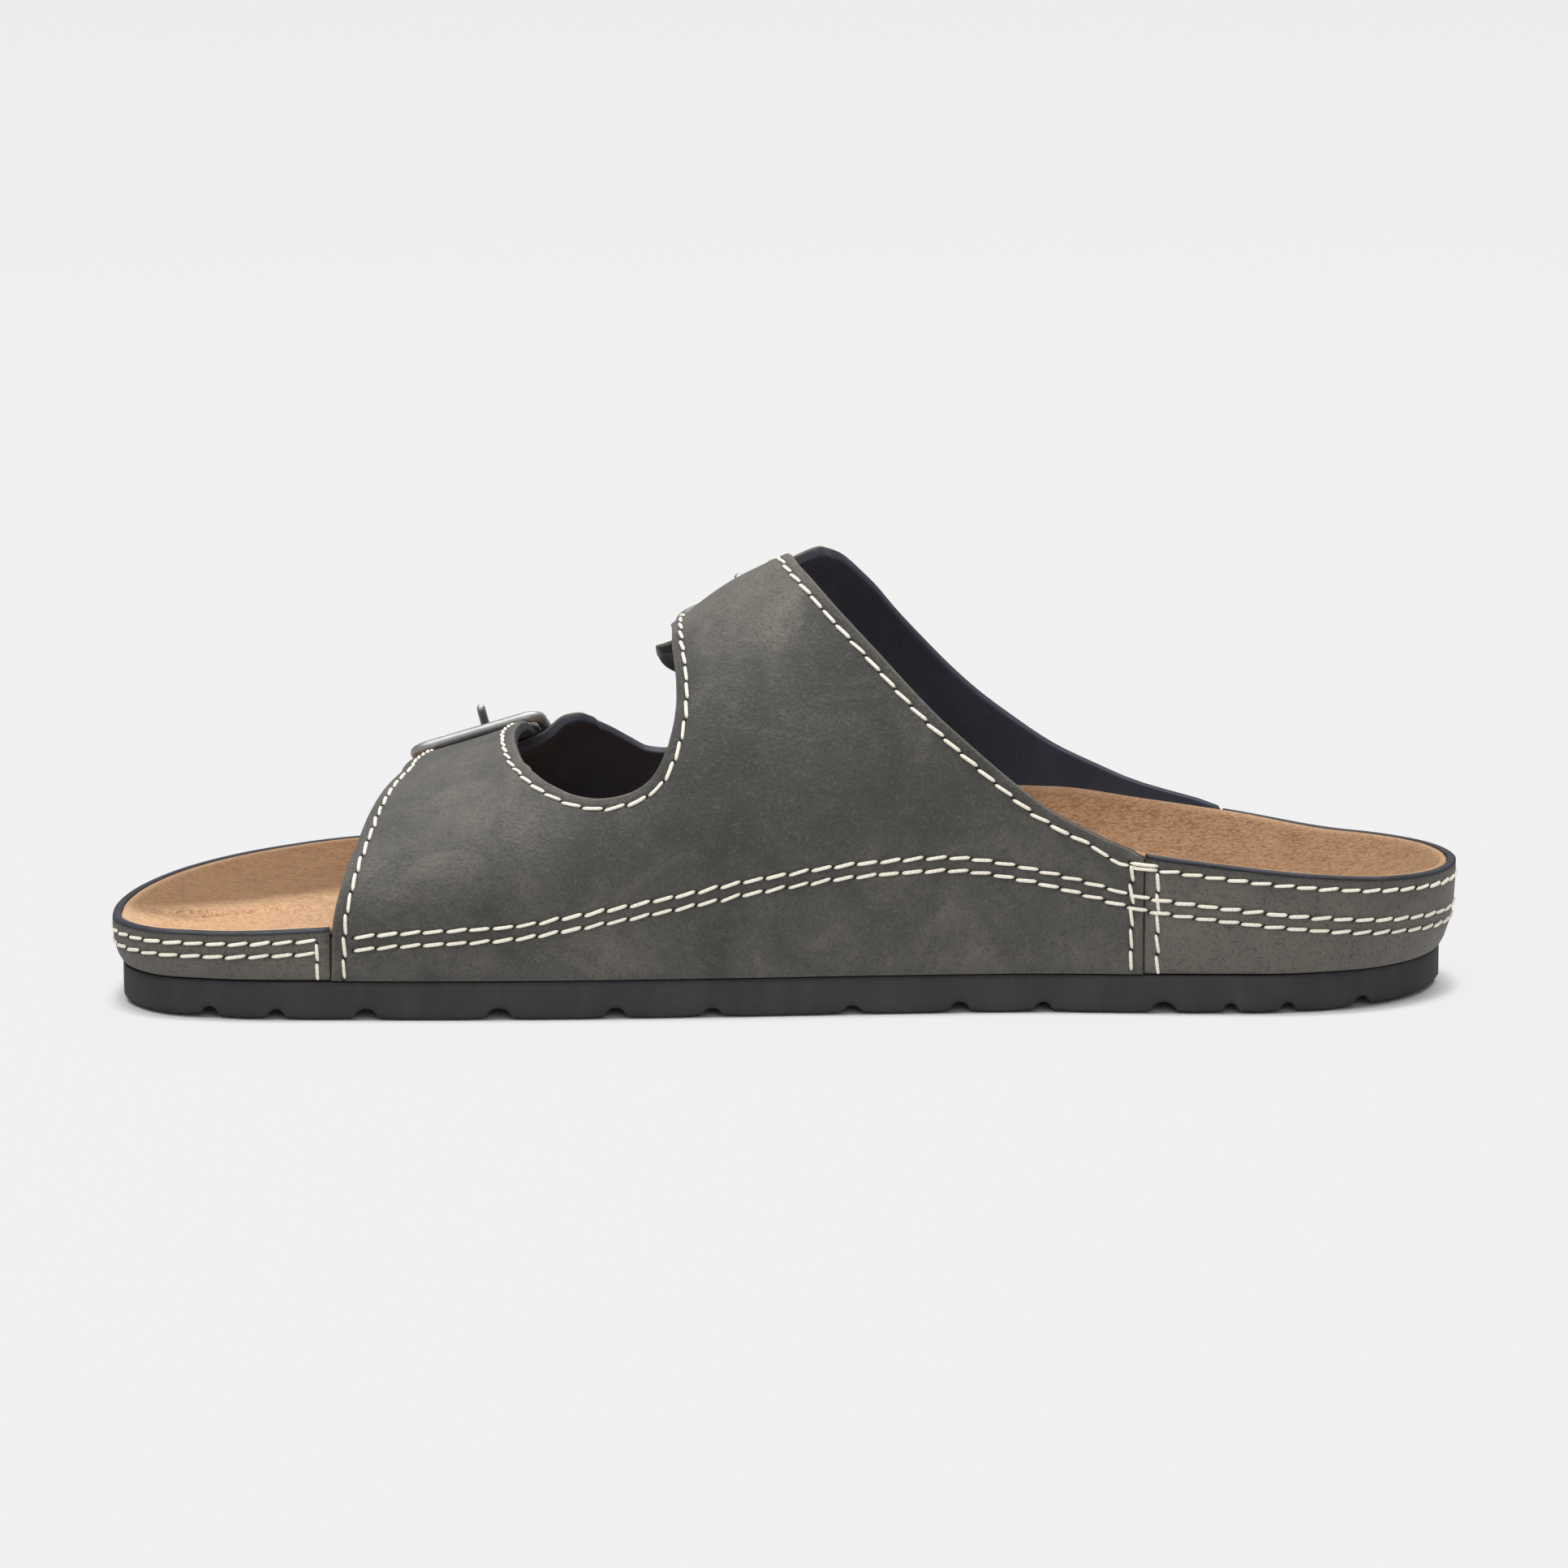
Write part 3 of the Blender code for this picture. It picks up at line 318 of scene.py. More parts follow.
class Sock:
    """A node's output as a number that changes over a surface, with the usual operators."""

    def __init__(self, shade: "Shade", socket: bpy.types.NodeSocket) -> None:
        """Keeps the material that the output belongs to."""
        self.shade = shade
        self.socket = socket

    def _with(self, operation: str, *others: "Sock | float") -> "Sock":
        """A Math node on this and other values."""
        made = self.shade.node("ShaderNodeMath", {"operation": operation}, *others)
        return Sock(self.shade, made.outputs[0])

    def __add__(self, other: "Sock | float") -> "Sock":
        """Sum."""
        return self._with("ADD", self, other)

    def __sub__(self, other: "Sock | float") -> "Sock":
        """Difference."""
        return self._with("SUBTRACT", self, other)

    def __rsub__(self, other: float) -> "Sock":
        """Reflected difference."""
        return self._with("SUBTRACT", other, self)

    def __mul__(self, other: "Sock | float") -> "Sock":
        """Product."""
        return self._with("MULTIPLY", self, other)

    def __abs__(self) -> "Sock":
        """Size without its sign."""
        return self._with("ABSOLUTE", self)

    __radd__ = __add__
    __rmul__ = __mul__

    def larger(self, other: "Sock | float") -> "Sock":
        """The larger of the two."""
        return self._with("MAXIMUM", self, other)

    def ramp(self, low: float, high: float, start: float = 0.0, end: float = 1.0) -> "Sock":
        """Smooth step from start at low to end at high."""
        settings = {"interpolation_type": "SMOOTHSTEP"}
        made = self.shade.node("ShaderNodeMapRange", settings, self, low, high, start, end)
        return Sock(self.shade, made.outputs[0])


class Shade:
    """One material and the node that every other node of it is made by."""

    def __init__(self, name: str) -> None:
        """Starts a material with its Principled shader."""
        self.material = bpy.data.materials.new(name)
        self.material.use_nodes = True
        self.tree = self.material.node_tree
        self.shader = self.tree.nodes["Principled BSDF"]
        self.place = self.node("ShaderNodeTexCoord", {}).outputs["Object"]

    def node(self, kind: str, settings: dict, *values: object, **named: object) -> bpy.types.Node:
        """Adds a node.

        Args:
            kind: The node's type.
            settings: Properties, set before its sockets.
            *values: Numbers or links for its first inputs, in order.
            **named: Numbers or links for inputs by name, with _ for a space.

        Returns:
            The node.
        """
        made = self.tree.nodes.new(kind)
        for key, value in settings.items():
            setattr(made, key, value)
        pairs = list(zip(made.inputs, values))
        pairs += [(made.inputs[key.replace("_", " ")], value) for key, value in named.items()]
        for socket, value in pairs:
            self.feed(socket, value)
        return made

    def feed(self, socket: bpy.types.NodeSocket, value: object) -> None:
        """Links a socket to a value that changes, or sets it to a number, a vector or a colour."""
        link = value.socket if isinstance(value, Sock) else value
        if isinstance(link, bpy.types.NodeSocket):
            self.tree.links.new(link, socket)
        else:
            socket.default_value = (*link, 1.0) if socket.type == "RGBA" and len(link) == 3 else link

    def axis(self, which: int) -> Sock:
        """A coordinate in object space, in millimetres."""
        made = self.node("ShaderNodeSeparateXYZ", {}, self.place)
        return Sock(self, made.outputs[which]) * (1 / MM)

    def mark(self, name: str) -> Sock:
        """A piece's own attribute, as a number."""
        made = self.node("ShaderNodeAttribute", {"attribute_name": name})
        return Sock(self, made.outputs["Fac"])

    def noise(self, size: float, detail: float = 3.0, rough: float = 0.5, bend: float = 0.0,
              stretch: Colour = (1, 1, 1), shift: float = 0.0) -> Sock:
        """Noise in object space whose features are about size millimetres.

        Args:
            size: Size of the features.
            detail: Number of finer layers.
            rough: Weight of the finer layers.
            bend: How much it is bent.
            stretch: Scale along each axis.
            shift: Where the noise is cut.

        Returns:
            The noise, mostly between 0.3 and 0.7.
        """
        away = (shift, shift * 0.7, -shift)
        moved = self.node("ShaderNodeMapping", {}, self.place, away, (0, 0, 0), stretch)
        made = self.node("ShaderNodeTexNoise", {}, Vector=moved.outputs[0], Scale=1 / (size * MM),
                         Detail=detail, Roughness=rough, Distortion=bend)
        return Sock(self, made.outputs["Fac"])

    def cells(self, size: float) -> Sock:
        """Cell distance of about size millimetres, 0 in the middle of a cell."""
        made = self.node("ShaderNodeTexVoronoi", {}, Vector=self.place, Scale=1 / (size * MM))
        return Sock(self, made.outputs["Distance"])

    def mix(self, first: object, second: object, share: Sock | float) -> bpy.types.NodeSocket:
        """A colour between two colours."""
        made = self.node("ShaderNodeMix", {"data_type": "RGBA"})
        for which, value in ((0, share), (6, first), (7, second)):
            self.feed(made.inputs[which], value)
        return made.outputs[2]

    def finish(self, colour: object, roughness: Sock | float, height: Sock | None,
               **others: object) -> bpy.types.Material:
        """Links colour, roughness and a height in millimetres to the shader.

        Args:
            colour: A colour or a link.
            roughness: A number or a value.
            height: Relief in millimetres, or None.
            **others: Other sockets' values, with _ for a space.

        Returns:
            The material.
        """
        values = {"Base_Color": colour, "Roughness": roughness, **others}
        if height is not None:
            bump = self.node("ShaderNodeBump", {}, Strength=1.0, Distance=MM, Height=height)
            values["Normal"] = bump.outputs[0]
        for name, value in values.items():
            self.feed(self.shader.inputs[name.replace("_", " ")], value)
        return self.material


@dataclass(frozen=True)
class OiledLeather:
    """Grey oiled nubuck: cloudy, with lighter pulled-up patches, a fine grain and pressed stitch rows."""

    deep: Colour = (0.041, 0.041, 0.038)
    main: Colour = (0.070, 0.068, 0.061)
    pale: Colour = (0.162, 0.144, 0.121)
    painted_row_shade: Colour = (0.029, 0.029, 0.028)
    grit: Colour = (0.032, 0.032, 0.030)

    def make(self) -> bpy.types.Material:
        """Builds the material.

        Clouds of three sizes choose between the deep, main and pale colours; the grain is noise over cells;
        the marks row and rise give the distances that press in the leather at its seams and darken it there
        with painted shade, the edge mark pales it along its cut edges, and the tone mark adds painted light
        over the leather's own pull-up.
        """
        s = Shade("oiled_nubuck_leather")
        cloud = s.noise(46, 3, 0.55, 0.4)
        patch = s.noise(15, 4, 0.6, 0.8, shift=0.31)
        fleck = s.noise(2.6, 4, 0.65, 0.3, shift=0.12)
        grain = s.noise(0.62, 3, 0.65, shift=0.05)
        pores = s.cells(1.0)
        grit = s.noise(0.33, 2, 0.6, shift=0.4)
        lines = s.noise(7, 5, 0.7, 1.6, (1, 1, 2.4), 0.57)
        scuff = s.noise(8, 5, 0.62, 0.7, (0.45, 1, 1.1), 0.83)
        wrinkle = 1 - abs(lines - 0.5).ramp(0.0, 0.045)
        edge, rise = s.mark("edge"), s.mark("rise")
        rows = [1 - abs(line).ramp(0.2, 1.15) for line in (s.mark("row"), rise, rise + ROW_APART)]
        seam = rows[0].larger(rows[1]).larger(rows[2])
        mottle = cloud * 0.55 + patch * 0.45
        # painted light and shade mixed with the leather's own pull-up: the tone mark pales and darkens the
        # colour below
        tone_and_light = s.mark("tone_and_light") + (patch - 0.5) * 0.8
        colour = s.mix(self.deep, self.main, mottle.ramp(0.34, 0.56))
        colour = s.mix(colour, self.pale, (patch * 0.6 + cloud * 0.4).ramp(0.5, 0.72, 0, 0.5))
        colour = s.mix(colour, self.pale, tone_and_light.ramp(0.0, 1.0, 0, 0.52))
        colour = s.mix(colour, self.deep, tone_and_light.ramp(0.0, -1.0, 0, 0.75))
        colour = s.mix(colour, self.pale, scuff.ramp(0.54, 0.76, 0, 0.32))
        freckle = fleck * 0.35 + grain * 0.65
        colour = s.mix(colour, self.pale, freckle.ramp(0.5, 0.72, 0, 0.5))
        colour = s.mix(colour, self.deep, freckle.ramp(0.5, 0.34, 0, 0.7))
        colour = s.mix(colour, self.grit, (grain * 0.55 + grit * 0.45).ramp(0.48, 0.34, 0, 0.5))
        # painted shade: a darker colour along the pressed stitch rows
        colour = s.mix(colour, self.painted_row_shade, seam * 0.30)
        colour = s.mix(colour, self.pale, edge.ramp(0.9, 0.15, 0, 0.35))
        height = grain * 0.24 + grit * 0.07 + pores * 0.09 + fleck * 0.18 + patch * 0.12
        height = height - seam * 0.20 - wrinkle * 0.012
        rough = 0.66 + (patch.ramp(0.4, 0.7) * -0.10) + fleck * 0.10
        return s.finish(colour, rough, height, Sheen_Weight=0.10, Sheen_Roughness=0.6,
                        Specular_IOR_Level=0.35)


@dataclass(frozen=True)
class NapSuede:
    """Tan suede with a short ruffled nap."""

    deep: Colour = (0.27, 0.135, 0.062)
    main: Colour = (0.46, 0.262, 0.144)
    pale: Colour = (0.63, 0.415, 0.255)
    # painted shade: the next two colours darken the toe's far slope and the heel half in place of real shade
    painted_shade_main: Colour = (0.32, 0.160, 0.080)
    shade: Colour = (0.150, 0.070, 0.030)

    def make(self) -> bpy.types.Material:
        """Builds the material.

        Nap noise of two sizes over wide strokes is both in the colour and in the relief. The far slope at the
        toe and the heel half are dimmer with painted shade, mixed in by object position, and the relief fades
        on the toe's near slope.
        """
        s = Shade("tan_suede")
        stroke = s.noise(16, 3, 0.55, 0.6)
        ruffle = s.noise(3.2, 4, 0.65, 0.5, (1, 1.2, 1), 0.2)
        nap = s.noise(0.7, 4, 0.66, 0.3, (0.75, 1.2, 1), 0.4)
        edge = s.mark("edge")
        ruffled = ruffle * 0.3 + nap * 0.7
        colour = s.mix(self.deep, self.main, ruffled.ramp(0.30, 0.54))
        colour = s.mix(colour, self.pale, (nap * 0.6 + stroke * 0.2 + ruffle * 0.2).ramp(0.42, 0.62, 0, 0.85))
        # painted shade: beyond a line across the toe and towards the heel the colour is mixed towards the
        # darker dusk colours
        x, y = s.axis(0), s.axis(1)
        beyond = y - (x + 109.8) * 0.92 + (nap - 0.5) * 3
        slope = beyond.ramp(-3, 5) * x.ramp(-62, -92)
        painted_shade_share = slope.larger(x.ramp(-5, 48, 0, 0.72))
        painted_dusk = s.mix(self.shade, self.painted_shade_main, ruffled.ramp(0.34, 0.64, 0, 0.72))
        colour = s.mix(colour, painted_dusk, painted_shade_share * 0.9)
        colour = s.mix(colour, self.pale, (edge + ruffle * 2).ramp(3.4, 1.2, 0, 0.6))
        calm = x.ramp(-72, -92) * beyond.ramp(2, -8)
        height = (nap * 0.7 + ruffle * 0.4) * (1 - calm)
        return s.finish(colour, 0.92, height, Sheen_Weight=0.35, Sheen_Roughness=0.45,
                        Sheen_Tint=(0.95, 0.75, 0.52, 1.0), Specular_IOR_Level=0.15)


@dataclass(frozen=True)
class PlainGrain:
    """A finish of one colour that varies a little, over a fine relief."""

    name: str
    main: Colour
    other: Colour
    roughness: float
    size: float
    relief: float
    metallic: float = 0.0
    stretch: Colour = (1, 1, 1)

    def make(self) -> bpy.types.Material:
        """Builds the material from wide noise in the colour and fine noise in relief and roughness."""
        s = Shade(self.name)
        wide = s.noise(self.size * 14, 3, 0.55, 0.3, self.stretch)
        fine = s.noise(self.size, 3, 0.6, 0.0, self.stretch, 0.3)
        colour = s.mix(self.main, self.other, (wide * 0.6 + fine * 0.4).ramp(0.36, 0.66))
        rough = self.roughness + (fine - 0.5) * 0.2
        return s.finish(colour, rough, fine * self.relief, Metallic=self.metallic, Specular_IOR_Level=0.4)


@dataclass(frozen=True)
class WaxedThread:
    """Cream thread, twisted, with a little dirt in its strands."""

    main: Colour = (0.93, 0.88, 0.76)
    worn: Colour = (0.66, 0.60, 0.49)

    def make(self) -> bpy.types.Material:
        """Builds the material: slanted strands from a sine of the twist mark, and fine fuzz."""
        s = Shade("waxed_cream_thread")
        twist = s.mark("twist")
        strand = Sock(s, s.node("ShaderNodeMath", {"operation": "SINE"}, twist).outputs[0])
        fuzz = s.noise(0.25, 3, 0.6)
        colour = s.mix(self.worn, self.main, (strand * 0.05 + fuzz).ramp(0.22, 0.55))
        return s.finish(colour, 0.85, strand * 0.02 + fuzz * 0.05, Specular_IOR_Level=0.2, Sheen_Weight=0.2)


class Finish(Enum):
    """The sandal's finishes."""

    LEATHER = "leather"
    LINING = "lining"
    EDGE = "edge"
    SUEDE = "suede"
    RUBBER = "rubber"
    THREAD = "thread"
    NEEDLE = "needle"
    METAL = "metal"
    CORK = "cork"


PLAIN_FINISHES = {
    Finish.LINING: PlainGrain("navy_lining", (0.018, 0.024, 0.043), (0.028, 0.036, 0.060), 0.62, 0.7, 0.06),
    Finish.EDGE: PlainGrain("dyed_edge", (0.018, 0.020, 0.029), (0.037, 0.038, 0.050), 0.58, 0.5, 0.08),
    Finish.RUBBER: PlainGrain("black_rubber", (0.027, 0.026, 0.029), (0.039, 0.0375, 0.041), 0.78, 0.5, 0.06,
                              stretch=(1, 1, 0.35)),
    # painted shade: near-black for the needle slits and punch holes, standing in for the shade inside them
    Finish.NEEDLE: PlainGrain("needle_hole_shade", (0.010, 0.010, 0.010), (0.014, 0.013, 0.013), 0.9, 0.5, 0.02),
    Finish.METAL: PlainGrain("dark_plated_steel", (0.36, 0.355, 0.36), (0.42, 0.415, 0.42), 0.50, 0.6, 0.010,
                             metallic=0.9),
    Finish.CORK: PlainGrain("pressed_cork", (0.30, 0.17, 0.08), (0.48, 0.31, 0.17), 0.9, 1.2, 0.3),
}


def make_finishes() -> dict[Finish, bpy.types.Material]:
    """One material for each finish."""
    worked = {Finish.LEATHER: OiledLeather(), Finish.SUEDE: NapSuede(), Finish.THREAD: WaxedThread()}
    return {finish: look.make() for finish, look in {**worked, **PLAIN_FINISHES}.items()}


@dataclass
class Workshop:
    """Turns arrays into finished pieces of the scene."""

    finishes: dict[Finish, bpy.types.Material]
    made: list[str] = field(default_factory=list)

    def piece(self, name: str, points: Array, faces: Sequence[Array], finishes: Sequence[Finish],
              marks: dict[str, Array] | None = None, replaces: Sequence[str] = (), slot: str | None = None,
              smooth: Sequence[bool] | None = None) -> bpy.types.Object:
        """Makes one piece that rides on the sandal.

        Args:
            name: The piece's name.
            points: Its points, in millimetres.
            faces: Groups of faces, each an (m, k) array of point numbers.
            finishes: The finish of each group.
            marks: Numbers per point that its material reads.
            replaces: CAD nodes that it stands for.
            slot: The record's material slot; not used.
            smooth: Whether each group is shaded smooth, all of them if left out.

        Returns:
            The piece's object.
        """
        points = np.asarray(points, float).reshape(-1, 3)
        groups = [np.asarray(group, int) for group in faces]
        used = np.unique(np.concatenate([group.ravel() for group in groups]))
        renumber = np.zeros(len(points), int)
        renumber[used] = np.arange(len(used))
        corners = np.concatenate([renumber[group].ravel() for group in groups])
        sizes = np.concatenate([np.full(len(group), group.shape[1]) for group in groups])
        kinds = list(dict.fromkeys(finishes))
        index = np.concatenate([np.full(len(g), kinds.index(f)) for g, f in zip(groups, finishes)])
        soft = smooth or [True] * len(groups)
        shading = np.concatenate([np.full(len(g), s) for g, s in zip(groups, soft)])
        mesh = bpy.data.meshes.new(name)
        mesh.vertices.add(len(used))
        mesh.vertices.foreach_set("co", (points[used] * MM).astype(np.float32).ravel())
        mesh.loops.add(len(corners))
        mesh.loops.foreach_set("vertex_index", corners.astype(np.int32))
        mesh.polygons.add(len(sizes))
        mesh.polygons.foreach_set("loop_start", np.concatenate([[0], np.cumsum(sizes)[:-1]]).astype(np.int32))
        mesh.polygons.foreach_set("material_index", index.astype(np.int32))
        mesh.update(calc_edges=True)
        mesh.polygons.foreach_set("use_smooth", shading)
        for kind in kinds:
            mesh.materials.append(self.finishes[kind])
        for key, values in (marks or {}).items():
            layer = mesh.attributes.new(key, "FLOAT", "POINT")
            layer.data.foreach_set("value", np.asarray(values, np.float32).ravel()[used])
        made = bpy.data.objects.new(name, mesh)
        bpy.context.scene.collection.objects.link(made)
        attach(made, "root")
        if replaces:
            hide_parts(*replaces)
        self.made.append(name)
        LOG.info("%s: %d faces", name, len(sizes))
        return made


def wall_faces(keep: Array) -> tuple[Array, Array, Array]:
    """Faces of a wall between two grids of points, numbered one after the other.

    A cell joins four neighbours of the outer grid, its twin on the inner grid runs the other way, and every
    cell edge with no kept neighbour gets a face across the wall.

    Args:
        keep: Which cells exist.

    Returns:
        Outer faces, inner faces and edge faces.
    """
    rows, columns = keep.shape[0] + 1, keep.shape[1] + 1
    number = np.arange(rows * columns).reshape(rows, columns)
    a, b, c, d = number[:-1, :-1], number[:-1, 1:], number[1:, 1:], number[1:, :-1]
    outer = np.stack([a[keep], b[keep], c[keep], d[keep]], 1)
    padded = np.pad(keep, 1)
    edges = []
    for start, end, beside in ((a, b, padded[:-2, 1:-1]), (b, c, padded[1:-1, 2:]),
                               (c, d, padded[2:, 1:-1]), (d, a, padded[1:-1, :-2])):
        bare = keep & ~beside
        first, last = start[bare], end[bare]
        edges.append(np.stack([last, first, first + number.size, last + number.size], 1))
    return outer, outer[:, ::-1] + number.size, np.vstack(edges)


def edge_round(distance: Array, radius: float) -> Array:
    """How far a rounded edge falls away: a quarter circle, read by the distance from the edge."""
    inside = np.clip(1 - distance / radius, 0, 1)
    return radius * (1 - np.sqrt(np.maximum(1 - inside**2, 0)))


def full_turn(count: int) -> Array:
    """Angles of count points evenly round a circle."""
    return np.arange(count) / count * 2 * math.pi


def ring_faces(number: Array) -> Array:
    """Faces between neighbouring rings of numbered points, each ring closed on itself."""
    a, d = number[..., :-1, :], number[..., 1:, :]
    return np.stack([a, np.roll(a, -1, -1), np.roll(d, -1, -1), d], -1)


def tube(path: Array, reference: Array, radii: Array, sides: int, closed: bool) -> tuple[Array, list[Array]]:
    """A round profile carried along a path.

    Point (i, j) is path i plus its radius times cos(j) across and sin(j) along the reference made square.

    Args:
        path: Points of the path.
        reference: A direction per point, never along the path.
        radii: Radius per point.
        sides: Points round the profile.
        closed: Whether the path closes on itself.

    Returns:
        Points and groups of faces.
    """
    if closed:
        ahead = unit(np.roll(path, -1, 0) - np.roll(path, 1, 0))
    else:
        ahead = unit(np.gradient(path, axis=0))
    across = unit(np.cross(ahead, reference))
    up = np.cross(across, ahead)
    turn = full_turn(sides)[:, None]
    profile = np.cos(turn) * across[:, None] + np.sin(turn) * up[:, None]
    points = path[:, None] + profile * np.asarray(radii, float)[:, None, None]
    number = np.arange(len(path) * sides).reshape(-1, sides)
    groups = [ring_faces(np.vstack([number, number[:1]]) if closed else number).reshape(-1, 4)]
    if not closed:
        groups += [number[:1, ::-1], number[-1:]]
    return points.reshape(-1, 3), groups


@dataclass
class Trail:
    """A line on the sandal's face with its outward normals, which stitches follow."""

    points: Array
    normals: Array

    def at(self, places: Array) -> tuple[Array, Array, Array]:
        """Points, directions and normals at distances along the line.

        Args:
            places: Distances from the start.

        Returns:
            Points, directions and normals.
        """
        step = np.linalg.norm(np.diff(self.points, axis=0), axis=1)
        run = np.concatenate([[0], np.cumsum(step)])
        here, ahead, out = (
            np.stack([np.interp(places + shift, run, values[:, k]) for k in range(3)], -1)
            for values, shift in ((self.points, 0.0), (self.points, 0.2), (self.normals, 0.0))
        )
        back = np.stack([np.interp(places - 0.2, run, self.points[:, k]) for k in range(3)], -1)
        return here, unit(ahead - back), unit(out)

    @property
    def length(self) -> float:
        """Length of the line."""
        return float(np.linalg.norm(np.diff(self.points, axis=0), axis=1).sum())

    @staticmethod
    def joined(parts: Sequence["Trail"]) -> "Trail":
        """Several lines one after the other."""
        return Trail(np.vstack([p.points for p in parts]), np.vstack([p.normals for p in parts]))


@dataclass
class Stitching:
    """Rows of hand-length stitches in thick thread, with the needle's slits between them."""

    shop: Workshop
    pitch: float = 4.75
    length: float = 4.25
    radius: float = 0.37
    rise: float = 0.28
    slant: float = 0.22
    sunk: float = 0.18
    wander: float = 0.06
    twist: float = 26.0
    slit: tuple[float, float] = (0.66, 0.24)
    rings: int = 9
    sides: int = 8
    seed: int = 7

    def sew(self, name: str, trails: Sequence[Trail], pitch: float | None = None) -> None:
        """Sews every row as one piece of thread and one of slits.

        A stitch is a tube whose middle rises over the leather by 1 - (2t - 1)^4 and whose ends dip into it.
        A slit is a flat dark lens turned across the row, painted shade in place of the needle's hole.

        Args:
            name: Name of the row.
            trails: The lines to follow.
            pitch: Distance between stitches, or None for the usual one.
        """
        dice = np.random.default_rng(self.seed + len(self.shop.made))
        threads, slits = [], []
        for trail in trails:
            count = max(1, round(trail.length / (pitch or self.pitch)))
            step = trail.length / count
            starts = np.arange(count) * step
            threads.append(self._threads(trail, starts, step * self.length / self.pitch, step, dice))
            slits.append(self._slits(trail, starts))
        points = np.concatenate([part[0] for part in threads])
        twist = np.concatenate([part[1] for part in threads])
        self._lay(name + "_thread", points, Finish.THREAD, twist)
        self._lay(name + "_needle_slits", np.concatenate(slits), Finish.NEEDLE, None)

    def _threads(self, trail: Trail, starts: Array, length: float, step: float,
                 dice: np.random.Generator) -> tuple[Array, Array]:
        """Points of all stitches of a row as (stitch, ring, side, 3), and their twist.

        Args:
            trail: The line to follow.
            starts: Where each stitch's share of the line starts.
            length: Length of a stitch.
            step: Distance between stitches.
            dice: The row's random numbers.

        Returns:
            Points and twist.
        """
        t = np.linspace(0, 1, self.rings)
        jitter = dice.normal(0, self.wander, (len(starts), 1))
        places = starts[:, None] + (step - length) / 2 + t[None, :] * length + jitter
        here, ahead, out = trail.at(places)
        across = unit(np.cross(out, ahead))
        height = self.rise * (1 - (2 * t - 1) ** 4) - self.sunk
        lean = (2 * t[None, :] - 1) * self.slant * (1 + dice.normal(0, 0.35, (len(starts), 1)))
        middle = here + out * height[None, :, None] + across * lean[..., None]
        thick = self.radius * (1 + dice.normal(0, 0.05, (len(starts), 1)))
        swell = thick * (0.62 + 0.38 * np.sqrt(np.maximum(1 - (2 * t[None, :] - 1) ** 6, 0)))
        turn = full_turn(self.sides)
        ring = np.cos(turn)[:, None] * across[:, :, None] + np.sin(turn)[:, None] * out[:, :, None]
        points = middle[:, :, None] + ring * swell[..., None, None]
        twist = np.broadcast_to(turn[None, None, :] + t[None, :, None] * self.twist, points.shape[:3])
        return points, twist

    def _slits(self, trail: Trail, starts: Array) -> Array:
        """Points of all slits of a row as (slit, 2 rings, side, 3).

        Args:
            trail: The line to follow.
            starts: Where each slit lies.

        Returns:
            Points.
        """
        here, ahead, out = trail.at(starts)
        across = unit(np.cross(out, ahead))
        turn = full_turn(self.sides)[:, None]
        long_way = unit(across + ahead * 0.75)
        short_way = unit(np.cross(out, long_way))
        half, thin = self.slit
        flat = long_way[:, None] * np.cos(turn) * half + short_way[:, None] * np.sin(turn) * thin
        low = here[:, None] + flat - out[:, None] * 0.12
        high = here[:, None] + flat * 0.8 + out[:, None] * 0.07
        return np.stack([low, high], 1)

    def _lay(self, name: str, points: Array, finish: Finish, twist: Array | None) -> None:
        """Closes tubes given as (piece, ring, side, 3) with caps and makes them one piece.

        Args:
            name: The piece's name.
            points: Points of the tubes.
            finish: Thread or needle hole.
            twist: Twist per point, or None.
        """
        pieces, rings, sides = points.shape[:3]
        number = np.arange(pieces * rings * sides).reshape(pieces, rings, sides)
        walls = ring_faces(number)[..., FLIP].reshape(-1, 4)
        if finish is Finish.NEEDLE:
            walls = walls[:, ::-1]
            caps = [number[:, 0, ::-1], number[:, -1]]
        else:
            caps = [number[:, 0], number[:, -1, ::-1]]
        marks = {} if twist is None else {"twist": twist}
        self.shop.piece(name, points, [walls, *caps], [finish] * 3, marks)


